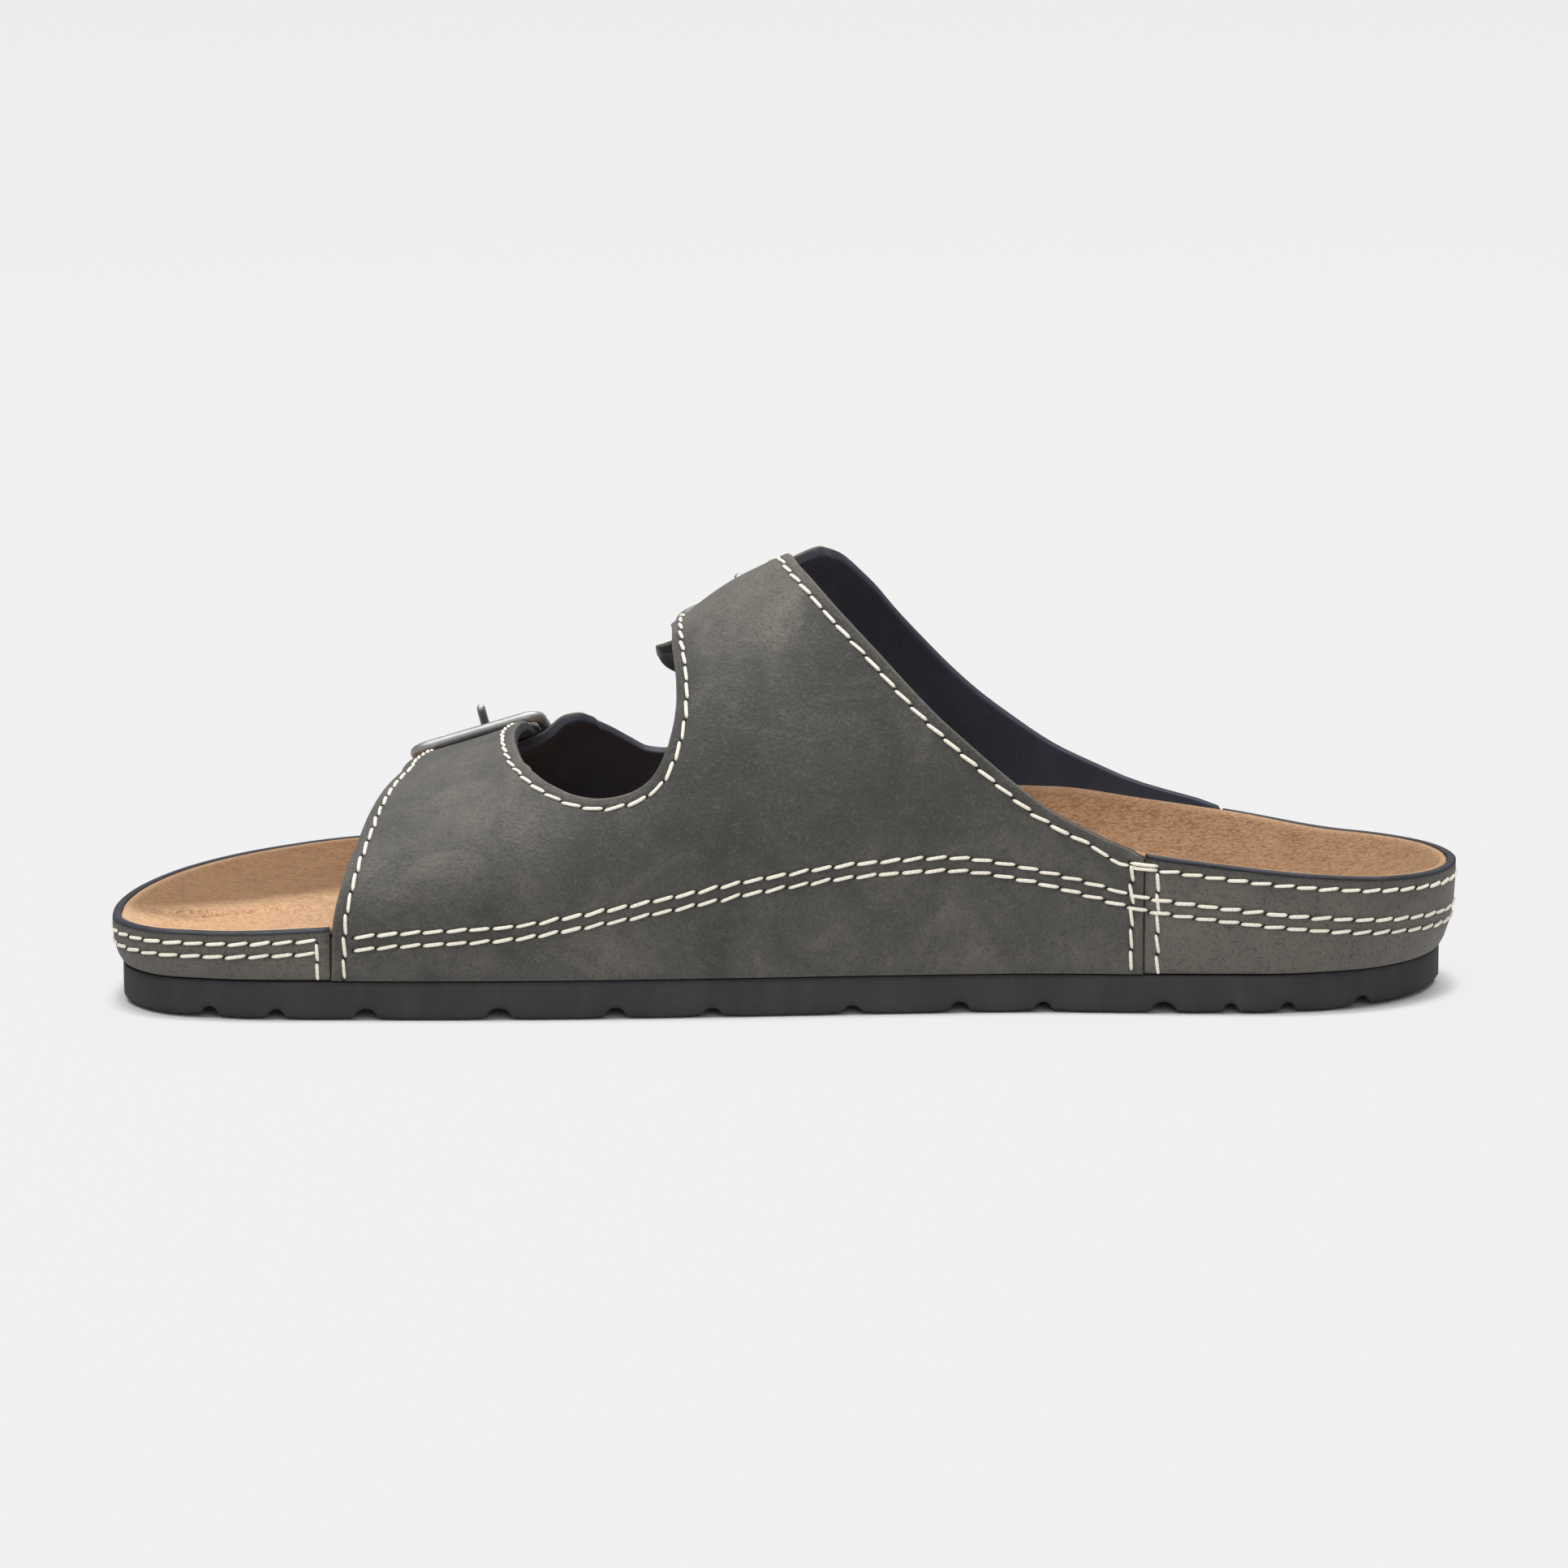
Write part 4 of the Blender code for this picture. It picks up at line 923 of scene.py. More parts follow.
@dataclass
class Wall:
    """The footbed's outer wall as a closed line, read by the distance run along it from the toe tip."""

    last: Last
    run: Array = field(init=False)
    loop: Array = field(init=False)
    inward: Array = field(init=False)

    def __post_init__(self) -> None:
        """Measures the outline and its inward normals."""
        self.loop = np.vstack([self.last.dense, self.last.dense[:1]])
        self.run = np.concatenate([[0], np.cumsum(np.linalg.norm(np.diff(self.loop, axis=0), axis=1))])
        ring = self.last.dense
        ahead = unit(np.roll(ring, -1, 0) - np.roll(ring, 1, 0))
        ahead = np.vstack([ahead, ahead[:1]])
        self.inward = np.stack([-ahead[:, 1], ahead[:, 0]], 1)

    def place(self, x: float, lateral: bool) -> float:
        """Distance along the line where it passes x on one side."""
        heel = len(self.last.sides[0]) - 1
        if lateral:
            return float(np.interp(-x, -self.loop[heel:, 0], self.run[heel:]))
        return float(np.interp(x, self.loop[: heel + 1, 0], self.run[: heel + 1]))

    def at(self, run: Array) -> tuple[Array, Array, Array]:
        """Points, inward directions and the side of the foot at distances along the line.

        Args:
            run: Distances along the line.

        Returns:
            Points, inward directions, and whether each is lateral.
        """
        run = np.mod(run, self.run[-1])
        points = np.stack([np.interp(run, self.run, self.loop[:, k]) for k in (0, 1)], -1)
        inward = np.stack([np.interp(run, self.run, self.inward[:, k]) for k in (0, 1)], -1)
        return points, unit(inward), run > self.run[len(self.last.sides[0]) - 1]

    def trail(self, start: float, end: float, below_rim: Callable[[Array], Array]) -> Trail:
        """A line on the wall's face.

        Args:
            start: Distance where it starts.
            end: Distance where it ends.
            below_rim: Depth below the rim, from x.

        Returns:
            The trail.
        """
        run = np.linspace(start, end, max(3, int(abs(end - start) / 1.2)))
        return self._on_face(run, lambda x, lateral: self.last.rim(x, lateral) - below_rim(x))

    def upright(self, run: float, top: float, bottom: float) -> Trail:
        """A line straight down the wall's face from height top to height bottom."""
        z = np.linspace(top, bottom, 12)
        return self._on_face(np.full(12, run), lambda x, lateral: z)

    def _on_face(self, run: Array, height: Callable[[Array, Array], Array]) -> Trail:
        """The wall's face at distances along it, at the height that x and the side give."""
        points, inward, lateral = self.at(run)
        z = height(points[:, 0], lateral)
        points = points + inward * self.last.tuck(points[:, 0], z, lateral)[:, None]
        return Trail(np.column_stack([points, z]), np.column_stack([-inward, np.zeros(len(run))]))


@dataclass
class Outsole:
    """Rubber outsole: a loft along the foot whose underside follows the tread's grooves."""

    last: Last
    step: float = 0.45
    narrow: float = 0.62
    bevel: tuple[float, float] = (7.5, 0.5)
    across: int = 26
    toe_inset: float = 1.9
    heel_inset: float = 3.2
    lead: float = 9.0
    # middle, half width, depth, and how far the lateral end lies towards the heel
    grooves: Table = (
        (-119, 3.0, 2.0, 8), (-105, 3.0, 2.0, 9), (-86.5, 4.0, 2.2, 10), (-59, 4.3, 2.3, 10),
        (-35, 3.6, 2.2, 8), (-15, 3.2, 1.8, 5), (14, 3.2, 1.8, 2), (36.5, 3.4, 2.2, 0), (54, 3.0, 2.0, -2),
        (79, 4.3, 2.3, -4), (93, 2.8, 2.0, -5), (105, 2.8, 2.0, -6), (121, 3.2, 2.0, -6),
    )

    def underside(self, x: Array, y: Array) -> Array:
        """Height of the tread: its own line, raised in each groove by a half ellipse on a shallow slope.

        Args:
            x: Places along the foot.
            y: Places across it.

        Returns:
            The heights.
        """
        z = curve(x, self.last.tread)
        for middle, half, depth, skew in self.grooves:
            centre = middle + skew * (y + 52.5) / 105
            inside = np.clip(1 - ((x - centre) / (half * self.narrow)) ** 2, 0, 1)
            slope = smooth_step(1 - np.abs(x - centre) / self.bevel[0]) * self.bevel[1]
            z = np.maximum(z, curve(x, self.last.tread) + np.maximum(depth * np.sqrt(inside), slope))
        return z

    def build(self, shop: Workshop) -> None:
        """Builds the outsole.

        Column i is a closed section at x: across the underside, up the lateral wall with rounded corners,
        back over the top and down the medial wall.

        Args:
            shop: Where the pieces are made.
        """
        last = self.last
        tip, heel = last.dense[:, 0].min(), last.dense[:, 0].max()
        low, high = tip + self.toe_inset, heel - self.heel_inset
        lead = self.lead * (1 - np.cos(np.linspace(0.12, math.pi / 2, 22)))
        body = np.arange(low + self.lead + self.step, high - self.lead, self.step)
        x = np.concatenate([[low], low + lead, body, (high - lead)[::-1], [high]])
        seen = (x - low) * (heel - tip) / (high - low) + tip
        edges = []
        for lateral in (False, True):
            y = last.side_y(seen, np.full(x.shape, lateral))
            inset = last.section(x, 3) + 0.3
            edges.append(y + (1 if not lateral else -1) * np.minimum(inset, 3.0))
        medial, outer = edges
        half, middle = (outer - medial) / 2, (outer + medial) / 2
        profile = self.profile()
        y = middle[:, None] + np.sign(profile[:, 0]) * np.maximum(
            np.abs(profile[:, 0]) * half[:, None] - profile[None, :, 1], 0.02)
        under = self.underside(x[:, None], y)
        top = last.sole_top
        tall = top - under
        z = np.where(profile[:, 2] < 0, top + profile[:, 2], under + np.minimum(profile[:, 2], tall * 0.45))
        z = np.where(profile[:, 3] > 0, under + tall * profile[:, 3], z)
        points = np.stack([np.broadcast_to(x[:, None], y.shape), y, z], -1)
        number = np.arange(points.shape[0] * points.shape[1]).reshape(points.shape[:2])
        walls = ring_faces(number)[..., FLIP].reshape(-1, 4)
        shop.piece("outsole_tread_and_wall", points, [walls, number[:1], number[-1:, ::-1]],
                   [Finish.RUBBER] * 3, replaces=["outsole"], slot="rubber", smooth=[True, False, False])

    def profile(self) -> Array:
        """The section as rows: share across (-1 medial, 1 lateral), inset, height, share of the wall.

        A positive height counts from the underside and a negative or zero one with no share from the top.
        """
        flat = np.linspace(-1, 1, self.across)
        wall = [(0.9, 0.18, 0), (0.35, 0.7, 0), (0.05, 1.5, 0), (0, 0, 0.35), (0, 0, 0.6), (0, 0, 0.86),
                (0.12, -0.15, 0), (0.4, -1e-6, 0)]
        rows = [(s, 1.9 * abs(s) ** 8, 1e-6, 0.0) for s in flat]
        rows += [(1, *row) for row in wall]
        rows += [(s, 0.4 * abs(s), -1e-6, 0) for s in np.linspace(0.9, -0.9, 8)]
        rows += [(-1, *row) for row in reversed(wall)]
        return np.array(rows)


@dataclass
class Footbed:
    """Suede liner on the dished cork block, and the cork below it."""

    last: Last
    thickness: float = 1.5
    lift: float = 0.75
    edge_radius: float = 0.6
    fibres: int = 9000
    fibre_radius: float = 0.045
    count: int = 220
    insets: tuple[float, ...] = (1.95, 2.2, 2.8, 3.9, 4.8, 6.0, 7.6, 9.5, 11.6, 14.0, 16.8, 20.0, 24.0, 28.5)
    spine_ends: tuple[float, float] = (-96.0, 100.0)
    slope_power: Table = ((-141, 1.2), (-95, 1.25), (-60, 1.7), (141, 1.7))
    square_within: float = 6.0

    def build(self, shop: Workshop, nodes: dict[str, bpy.types.Object]) -> None:
        """Builds the liner as rings that close on a line down the middle, top and underside.

        Ring d is the outline moved inwards by d towards its own point of the middle line, at the height of
        the bed: its floor plus the rim's rise times a power of 1 - d / width.

        Args:
            shop: Where the pieces are made.
            nodes: The CAD nodes by name.
        """
        loop, lateral, spine, spine_of = self._lines()
        levels, distance = [], []
        for lower in (0.0, self.thickness):
            for inset in self.insets:
                ring = self._ring(loop, spine[spine_of], inset)
                into = inset - self.insets[0]
                drop = float(edge_round(np.array(into), self.edge_radius)) if lower == 0 else 0.0
                height = self._height(ring, loop, lateral, inset) - lower - drop
                levels.append(np.column_stack([ring, height]))
                distance.append(np.full(len(loop), into))
            floor = curve(spine[:, 0], self.last.bed)
            levels.append(np.column_stack([spine, floor - lower]))
            distance.append(np.full(len(spine), 30.0))
        count, rings = len(loop), len(self.insets)
        per_side = rings * count + len(spine)
        i = np.arange(count)
        k = (i + 1) % count
        quads: list[Array] = []
        roofs: list[Array] = []
        for side in (0, 1):
            base = side * per_side
            for ring in range(rings - 1):
                a = base + ring * count
                quad = np.stack([a + i, a + k, a + count + k, a + count + i], 1)
                quads.append(quad if side == 0 else quad[:, ::-1])
            last_ring = base + (rings - 1) * count
            middle = base + rings * count
            one, two = middle + spine_of[i], middle + spine_of[k]
            roof = np.stack([last_ring + i, last_ring + k, two, one], 1)
            same = one == two
            roofs.append(roof[~same] if side == 0 else roof[~same][:, ::-1])
            roofs.append(roof[same][:, :3] if side == 0 else roof[same][:, 2::-1])
        quads.append(np.stack([per_side + i, per_side + k, k, i], 1))
        faces = [*quads, *roofs]
        shop.piece("footbed_suede_liner", np.vstack(levels), faces, [Finish.SUEDE] * len(faces),
                   {"edge": np.concatenate(distance)}, ["footbed_liner"], "suede")
        self._fuzz(shop, levels[0], loop)
        for slot in nodes["footbed_cork"].material_slots:
            slot.material = shop.finishes[Finish.CORK]

    def _fuzz(self, shop: Workshop, ring: Array, loop: Array) -> None:
        """Loose fibres along the suede's cut edge, each a thin three-sided spike.

        Fibre i stands at a random place between two points of the ring and leans at random, mostly up.

        Args:
            shop: Where the pieces are made.
            ring: The liner's outermost ring.
            loop: The outline it lies in.
        """
        dice = np.random.default_rng(11)
        at = dice.integers(0, len(ring), self.fibres)
        share = dice.random((self.fibres, 1))
        root = ring[at] * (1 - share) + ring[(at + 1) % len(ring)] * share
        away = np.column_stack([unit(loop - ring[:, :2]), np.zeros(len(ring))])[at]
        root = root - away * dice.uniform(-0.1, 1.6, (self.fibres, 1)) - np.array([0, 0, 0.1])
        lean = away * dice.normal(0.25, 0.5, (self.fibres, 1)) + dice.normal(0, 0.45, (self.fibres, 3))
        lean = lean + np.array([0, 0, 0.75])
        length = dice.uniform(0.35, 0.95, (self.fibres, 1))
        side = unit(np.cross(lean, np.array([0.3, 0.5, 0.1]))) * self.fibre_radius
        turned = np.cross(unit(lean), side)
        feet = [root + side, root - 0.5 * side + 0.87 * turned, root - 0.5 * side - 0.87 * turned]
        points = np.stack([*feet, root + unit(lean) * length], 1)
        a, b, c, tip = (np.arange(self.fibres)[:, None] * 4 + np.arange(4)).T
        faces = [np.stack(three, 1) for three in ((a, b, tip), (b, c, tip), (c, a, tip), (c, b, a))]
        shop.piece("footbed_suede_fibres", points, faces, [Finish.SUEDE] * 4,
                   {"edge": np.full((self.fibres, 4), 1.5)})

    def _lines(self) -> tuple[Array, Array, Array, Array]:
        """The loop, its side of the foot, the middle line and each loop point's place on it."""
        halves = []
        for line in (self.last.sides[0], self.last.sides[1][::-1]):
            step = np.diff(line, axis=0)
            length = np.linalg.norm(step, axis=1)
            heading = np.unwrap(np.arctan2(step[:, 1], step[:, 0]))
            turn = np.abs(np.diff(heading, prepend=heading[0]))
            measure = np.concatenate([[0], np.cumsum(length / length.sum() + turn / turn.sum())])
            wanted = np.linspace(0, measure[-1], self.count + 1)[:-1]
            halves.append(np.stack([np.interp(wanted, measure, line[:, k]) for k in (0, 1)], 1))
        loop = np.vstack(halves)
        lateral = np.arange(len(loop)) > self.count
        partner = (len(loop) - np.arange(len(loop))) % len(loop)
        middle = (loop + loop[partner]) / 2
        rank = np.minimum(np.arange(len(loop)), partner)
        first = int(np.argmax(middle[: self.count + 1, 0] > self.spine_ends[0]))
        final = int(np.argmax(middle[: self.count + 1, 0] > self.spine_ends[1])) - 1
        return loop, lateral, middle[first : final + 1], np.clip(rank, first, final) - first

    def _ring(self, loop: Array, goal: Array, inset: float) -> Array:
        """The loop moved inwards by inset, square to itself close to the edge.

        Args:
            loop: The outline.
            goal: Each point's place on the middle line.
            inset: How far it moves.

        Returns:
            The ring.
        """
        ahead = unit(np.roll(loop, -1, 0) - np.roll(loop, 1, 0))
        toward = unit(goal - loop)
        square = np.abs(ahead[:, 0] * toward[:, 1] - ahead[:, 1] * toward[:, 0])
        near = min(inset, self.square_within)
        return loop + toward * (near / square + inset - near)[:, None]

    def _height(self, ring: Array, loop: Array, lateral: Array, inset: float) -> Array:
        """Height of the bed on a ring.

        Args:
            ring: The ring's points.
            loop: The outline's points.
            lateral: Which of them are lateral.
            inset: How far the ring lies inside.

        Returns:
            The heights.
        """
        x = ring[:, 0]
        width = np.where(lateral, curve(x, self.last.bed, 3), curve(x, self.last.bed, 2))
        rise = self.last.rim(loop[:, 0], lateral) - self.last.rim_lip - curve(x, self.last.bed)
        reach = np.clip(1 - (inset - self.last.bed_edge) / width, 0, 1)
        power = np.where(lateral, curve(x, self.slope_power), 1.7)
        near_rim = self.lift * (1 - smooth_step((inset - self.insets[0]) / 7))
        return curve(x, self.last.bed) + rise * reach**power + near_rim


@dataclass
class WrapBand:
    """A leather band round the toe or heel, with a dyed edge that rolls over the rim."""

    last: Last
    wall: Wall
    name: str
    start: float
    end: float
    dyed: float
    top_row: bool
    thin: float = 1.75
    rolls: tuple[float, float] = (0.8, 0.3)
    step: float = 1.6

    def build(self, shop: Workshop) -> None:
        """Builds the band as its closed profile carried along the outline.

        Args:
            shop: Where the pieces are made.
        """
        run = np.linspace(self.start, self.end, int((self.end - self.start) / self.step))
        points, inward, lateral = self.wall.at(run)
        x = points[:, 0][:, None]
        side = lateral[:, None]
        top = self.last.rim(x, side)
        tall = top - self.last.wrap_base
        inset, height, dyed = self._profile(tall)
        z = self.last.wrap_base + height
        inset = inset + self.last.tuck(x, z, side)
        flat = points[:, None] + inward[:, None] * inset[..., None]
        grid = np.concatenate([flat, z[..., None]], -1)
        number = np.arange(grid.shape[0] * grid.shape[1]).reshape(grid.shape[:2])
        quads = ring_faces(number)[..., FLIP]
        faces = [quads[:, ~dyed].reshape(-1, 4), quads[:, dyed].reshape(-1, 4), number[:1], number[-1:, ::-1]]
        spread = grid.reshape(-1, 3)
        below = (top - z).ravel()
        marks = {"edge": below + 0.4, "row": below - HEEL_ROW if self.top_row else np.full(len(below), FAR),
                 "rise": self.last.row_rise(spread, ROW_DROP), "tone_and_light": leather_tone_and_light(spread)}
        shop.piece(self.name + "_leather", spread, faces, [Finish.LEATHER] + [Finish.EDGE] * 3, marks,
                   [self.name], "leather", [True, True, False, False])

    def _profile(self, tall: Array) -> tuple[Array, Array, Array]:
        """Insets and heights round the profile, and which of its stretches are dyed.

        It goes up the outer face, over the rim on two quarter circles and down the inner face.

        Args:
            tall: Height of the wall per place.

        Returns:
            Insets, heights and the dyed stretches.
        """
        turn = np.radians(np.linspace(0, 90, 7))
        outer = [(0.9, 0.0, 0.0), (0.4, 0.35, 0.0), (0.15, 0.8, 0.0), (0.0, 2.2, 0.0)]
        outer += [(0.0, -self.dyed, share) for share in (0.3, 0.55, 0.8, 1.0)]
        wide, tight = self.rolls
        thick = self.last.wall
        roll = [(wide * (1 - math.cos(t)), -wide * (1 - math.sin(t)), 1.0) for t in turn]
        back = [(self.thin - tight * (1 - math.sin(t)), -tight * (1 - math.cos(t)), 1.0) for t in turn[:-1]]
        inner = [(self.thin, -2.0, 1.0), (thick, -3.2, 1.0), (thick, 0.0, 0.4), (thick, 0.0, 0.0)]
        rows = np.array(outer + roll + back + inner)
        height = np.where(rows[:, 2] > 0, tall * rows[:, 2] + rows[:, 1] * (rows[:, 2] == 1.0), rows[:, 1])
        dyed = np.zeros(len(rows), bool)
        dyed[len(outer) - 1 :] = True
        return np.broadcast_to(rows[:, 0], height.shape), height, dyed


@dataclass(frozen=True)
class Strap:
    """One strap and its buckle: where the pivot bar lies, how far the strap runs past it, and its pin."""

    name: str
    x: float
    pivot: float
    tail: float
    tongue_top: float
    prong_lean: float
    prong_rise: float


FRONT_STRAP = Strap("front", -63.6, 1.50, 18.0, 0.69, 2.6, 2.5)
REAR_STRAP = Strap("rear", -4.8, 1.42, 29.0, 0.93, 1.8, 0.9)
# Finishes of a leather wall's outer, inner and edge faces
UPPER_FINISHES = (Finish.LEATHER, Finish.LINING, Finish.EDGE)
STRAP_WIDTH = 24.6
STRAP_ROUND = 6.0
TONGUE_SINK = 3.0
TONGUE_ROUND = 8.0


def tongue_sink(share: Array | float) -> Array:
    """How far the tongues lie below the form, by the share of the way to the crown."""
    return -TONGUE_SINK * smooth_step((share - 0.18) / 0.22)


@dataclass
class Buckle:
    """A pin buckle: folded leather strip, wire frame and pin."""

    last: Last
    strap: Strap
    gap: float = 0.3
    frame_depth: float = 17.0
    bar_radius: float = 1.2
    pivot_radius: float = 1.15
    eye_gap: float = 0.25
    fold_width: float = 19.0
    fold_slot: float = 4.6
    fold_thick: float = 1.1
    fold_seat: float = 0.55
    corner: float = 3.4
    prong_radius: float = 0.95
    prong_eye: float = 0.65
    hook_turn: tuple[float, float] = (215.0, 20.0)
    bar_swell: float = 4.0
    # distance past the pivot, height of the strip's upper leaf over its lower one
    fold_lay: Table = ((2.6, 2.15), (3.2, 2.05), (6.2, 0.75), (9.5, 0.35), (13.0, 0.3))
    # distance past the pivot, height of the strap's face over the form
    strap_lift: Table = (
        (-40, 0), (-10, 0), (-7.6, 1.2), (-5, 4.1), (-2.2, 5.85), (0, 6.1), (2.5, 5.8), (5, 4.5),
        (8, 3.5), (13.5, 3.3), (16, 2.4), (19, 0.7), (22, 0.1), (60, 0.05),
    )

    def __post_init__(self) -> None:
        """Finds the middle line square to the pivot, and the straight axes at the pivot and the outer bar."""
        self.bar_lift = self.gap + 0.05 + self.bar_radius
        self.middle = self._square_line()
        self.rate = float(np.linalg.norm(self.last.around(self.strap.x, self.strap.pivot)))
        self.pivot_lift = self.fold_seat + self.fold_thick + self.eye_gap + self.pivot_radius - TONGUE_SINK
        self.pivot, self.across, self.down, self.out = self._axes(0.0, self.pivot_lift)
        self.bar, self.bar_across, self.bar_down, self.bar_out = self._axes(-self.frame_depth, self.bar_lift)

    def _square_line(self, step: float = 0.01) -> list[tuple[float, float]]:
        """Rows of girth and x along the line over the form that runs square to the pivot.

        Args:
            step: Girth between two rows.

        Returns:
            The rows, by rising girth.
        """
        rows = [(self.strap.pivot, self.strap.x)]
        for way in (-step, step):
            here, at = self.strap.x, self.strap.pivot
            while 0.9 < at + way < 1.9:
                ahead, turn = self.last.along(here, at), self.last.around(here, at)
                here -= way * float(ahead @ turn) / float(ahead @ ahead)
                at += way
                rows.append((at, here))
        return sorted(rows)

    def _axes(self, past: float, lift: float) -> tuple[Array, Array, Array, Array]:
        """A point on the middle line, and the directions across, down and out there.

        Args:
            past: Distance past the pivot.
            lift: Height over the form.

        Returns:
            The point and three directions.
        """
        girth = float(self.girth(past))
        x = float(curve(girth, self.middle))
        across, down = unit(self.last.along(x, girth)), unit(self.last.around(x, girth))
        down = unit(down - across * (across @ down))
        return self.on_form(0.0, past, lift), across, down, np.cross(across, down)

    def girth(self, past: Array | float) -> Array:
        """Girth at a distance past the pivot."""
        return self.strap.pivot + np.asarray(past, float) / self.rate

    def on_form(self, wide: Array | float, past: Array | float, lift: Array | float) -> Array:
        """A point by its place across the strap, its distance past the pivot and its lift."""
        girth = self.girth(past)
        middle = curve(girth, self.middle)
        spread = np.linalg.norm(self.last.along(middle, girth), axis=-1)
        return self.last.skin(middle + wide / spread, girth, lift)

    def place(self, wide: Array | float, past: Array | float, lift: Array | float) -> Array:
        """The same, but straight across the strap close to the pivot bar and under the outer bar.

        Args:
            wide: Place across the strap.
            past: Distance past the pivot.
            lift: Height over the form.

        Returns:
            Points.
        """
        wide, past, lift = (v[..., None] for v in np.broadcast_arrays(wide, past, lift))
        at_pivot = self.pivot + wide * self.across + past * self.down + (lift - self.pivot_lift) * self.out
        beyond = past + self.frame_depth
        over_bar = (lift - self.bar_lift) * self.bar_out
        at_bar = self.bar + wide * self.bar_across + beyond * self.bar_down + over_bar
        near_pivot = 1 - smooth_step((np.abs(past) - 4) / 7)
        near_bar = 1 - smooth_step((np.abs(beyond) - 2.5) / 6.5)
        form = self.on_form(wide[..., 0], past[..., 0], lift[..., 0])
        return at_pivot * near_pivot + at_bar * near_bar + form * (1 - near_pivot - near_bar)

    def face_lift(self, past: Array) -> Array:
        """Height of the strap's outer face over the form."""
        rest = tongue_sink(2 - self.girth(past)) + TONGUE_SINK
        return curve(past, self.strap_lift) + np.where(past > 0, rest, 0)

    def half_width(self, past: Array) -> Array:
        """Half the strap's width, drawn in on a quarter circle at its end."""
        into = np.clip((past - self.strap.tail + STRAP_ROUND) / STRAP_ROUND, 0, 1)
        return STRAP_WIDTH / 2 - STRAP_ROUND * (1 - np.sqrt(1 - into**2))

    def build(self, shop: Workshop) -> None:
        """Builds the folded strip, the frame and the pin."""
        self._build_fold(shop)
        self._build_frame(shop)
        self._build_prong(shop)

    def _build_fold(self, shop: Workshop) -> None:
        """The strip: an outside and an inside line round the pivot, carried across its width.

        Args:
            shop: Where the pieces are made.
        """
        reach = self.pivot_radius + self.eye_gap
        turn = np.radians(np.linspace(0, 180, 19))
        seat = self.fold_seat - TONGUE_SINK
        lower = np.stack([np.linspace(14.0, 2.6, 12), np.full(12, seat)], 1)
        centre = np.array([0.0, self.pivot_lift])
        circle = np.stack([-np.sin(turn), -np.cos(turn)], 1)
        over_x = np.linspace(2.6, 13.0, 12)
        over = np.stack([over_x, curve(over_x, self.fold_lay) + seat + 2 * self.fold_thick], 1)
        thick = self.fold_thick
        outside = np.vstack([lower, centre + circle * (reach + thick), over])
        inside = np.vstack([lower + (0, thick), centre + circle * reach, over - (0.35, thick)])
        sink = tongue_sink(2 - self.girth(np.maximum(outside[:, 0], 0))) + TONGUE_SINK
        outside[:, 1] += sink
        inside[:, 1] += sink
        half = self.fold_width / 2
        slot = self.fold_slot / 2
        wide = np.concatenate([np.linspace(-half, -slot, 9), np.linspace(slot, half, 9)])
        grids = [self.place(wide[None, :], line[:, :1], line[:, 1:]) for line in (outside, inside)]
        keep = np.ones((len(outside) - 1, wide.size - 1), bool)
        keep[8:34, 8] = False
        points = np.vstack([g.reshape(-1, 3) for g in grids])
        far = np.full(len(points), FAR)
        marks = {"edge": far, "row": far, "rise": far, "tone_and_light": far * 0}
        shop.piece(f"buckle_fold_{self.strap.name}", points, wall_faces(keep), UPPER_FINISHES, marks,
                   [f"buckle_loop_{self.strap.name}"], "leather", [True, True, False])

    def _build_frame(self, shop: Workshop) -> None:
        """The frame: a rounded rectangle of wire, thicker at its outer bar.

        Args:
            shop: Where the pieces are made.
        """
        half = STRAP_WIDTH / 2 + 2 * self.gap + self.bar_radius
        rise = unit(self.bar - self.pivot)
        depth = float(np.linalg.norm(self.bar - self.pivot))
        quarter = np.radians(np.linspace(0, 90, 10))
        gain = self.bar_radius - self.pivot_radius
        points, radii = [], []
        for sign, far in ((1, 0), (1, 1), (-1, 1), (-1, 0)):
            bend = quarter if (sign, far) in ((1, 1), (-1, 0)) else quarter[::-1]
            wide = sign * (half - self.corner * (1 - np.cos(bend)))
            deep = self.corner * (1 - np.sin(bend))
            at = depth - deep if far else deep
            across = self.across + (self.bar_across - self.across) * at[:, None] / depth
            points.append(self.pivot + across * wide[:, None] + rise * at[:, None])
            radii.append(self.pivot_radius + gain * np.minimum(1.0, at / self.bar_swell))
        path, thick = self._filled(np.vstack(points), np.concatenate(radii))
        reference = np.broadcast_to(self.out + self.bar_out, path.shape)
        points, groups = tube(path, reference, thick, 18, True)
        shop.piece(f"buckle_wire_{self.strap.name}", points, groups, [Finish.METAL] * len(groups),
                   replaces=[f"buckle_frame_{self.strap.name}"], slot="gunmetal")

    @staticmethod
    def _filled(path: Array, radii: Array) -> tuple[Array, Array]:
        """A closed path with its long straight stretches divided.

        Args:
            path: The path's points.
            radii: Radius per point.

        Returns:
            The denser path and its radii.
        """
        ends = np.vstack([path, path[:1]])
        thick = np.concatenate([radii, radii[:1]])
        run = np.concatenate([[0], np.cumsum(np.linalg.norm(np.diff(ends, axis=0), axis=1))])
        extra = np.linspace(0, run[-1], 90)[:-1]
        places = np.unique(np.round(np.concatenate([run[:-1], extra]), 2))
        places = places[np.concatenate([[True], np.diff(places) > 0.15])]
        line = np.stack([np.interp(places, run, ends[:, k]) for k in range(3)], 1)
        return line, np.interp(places, run, thick)

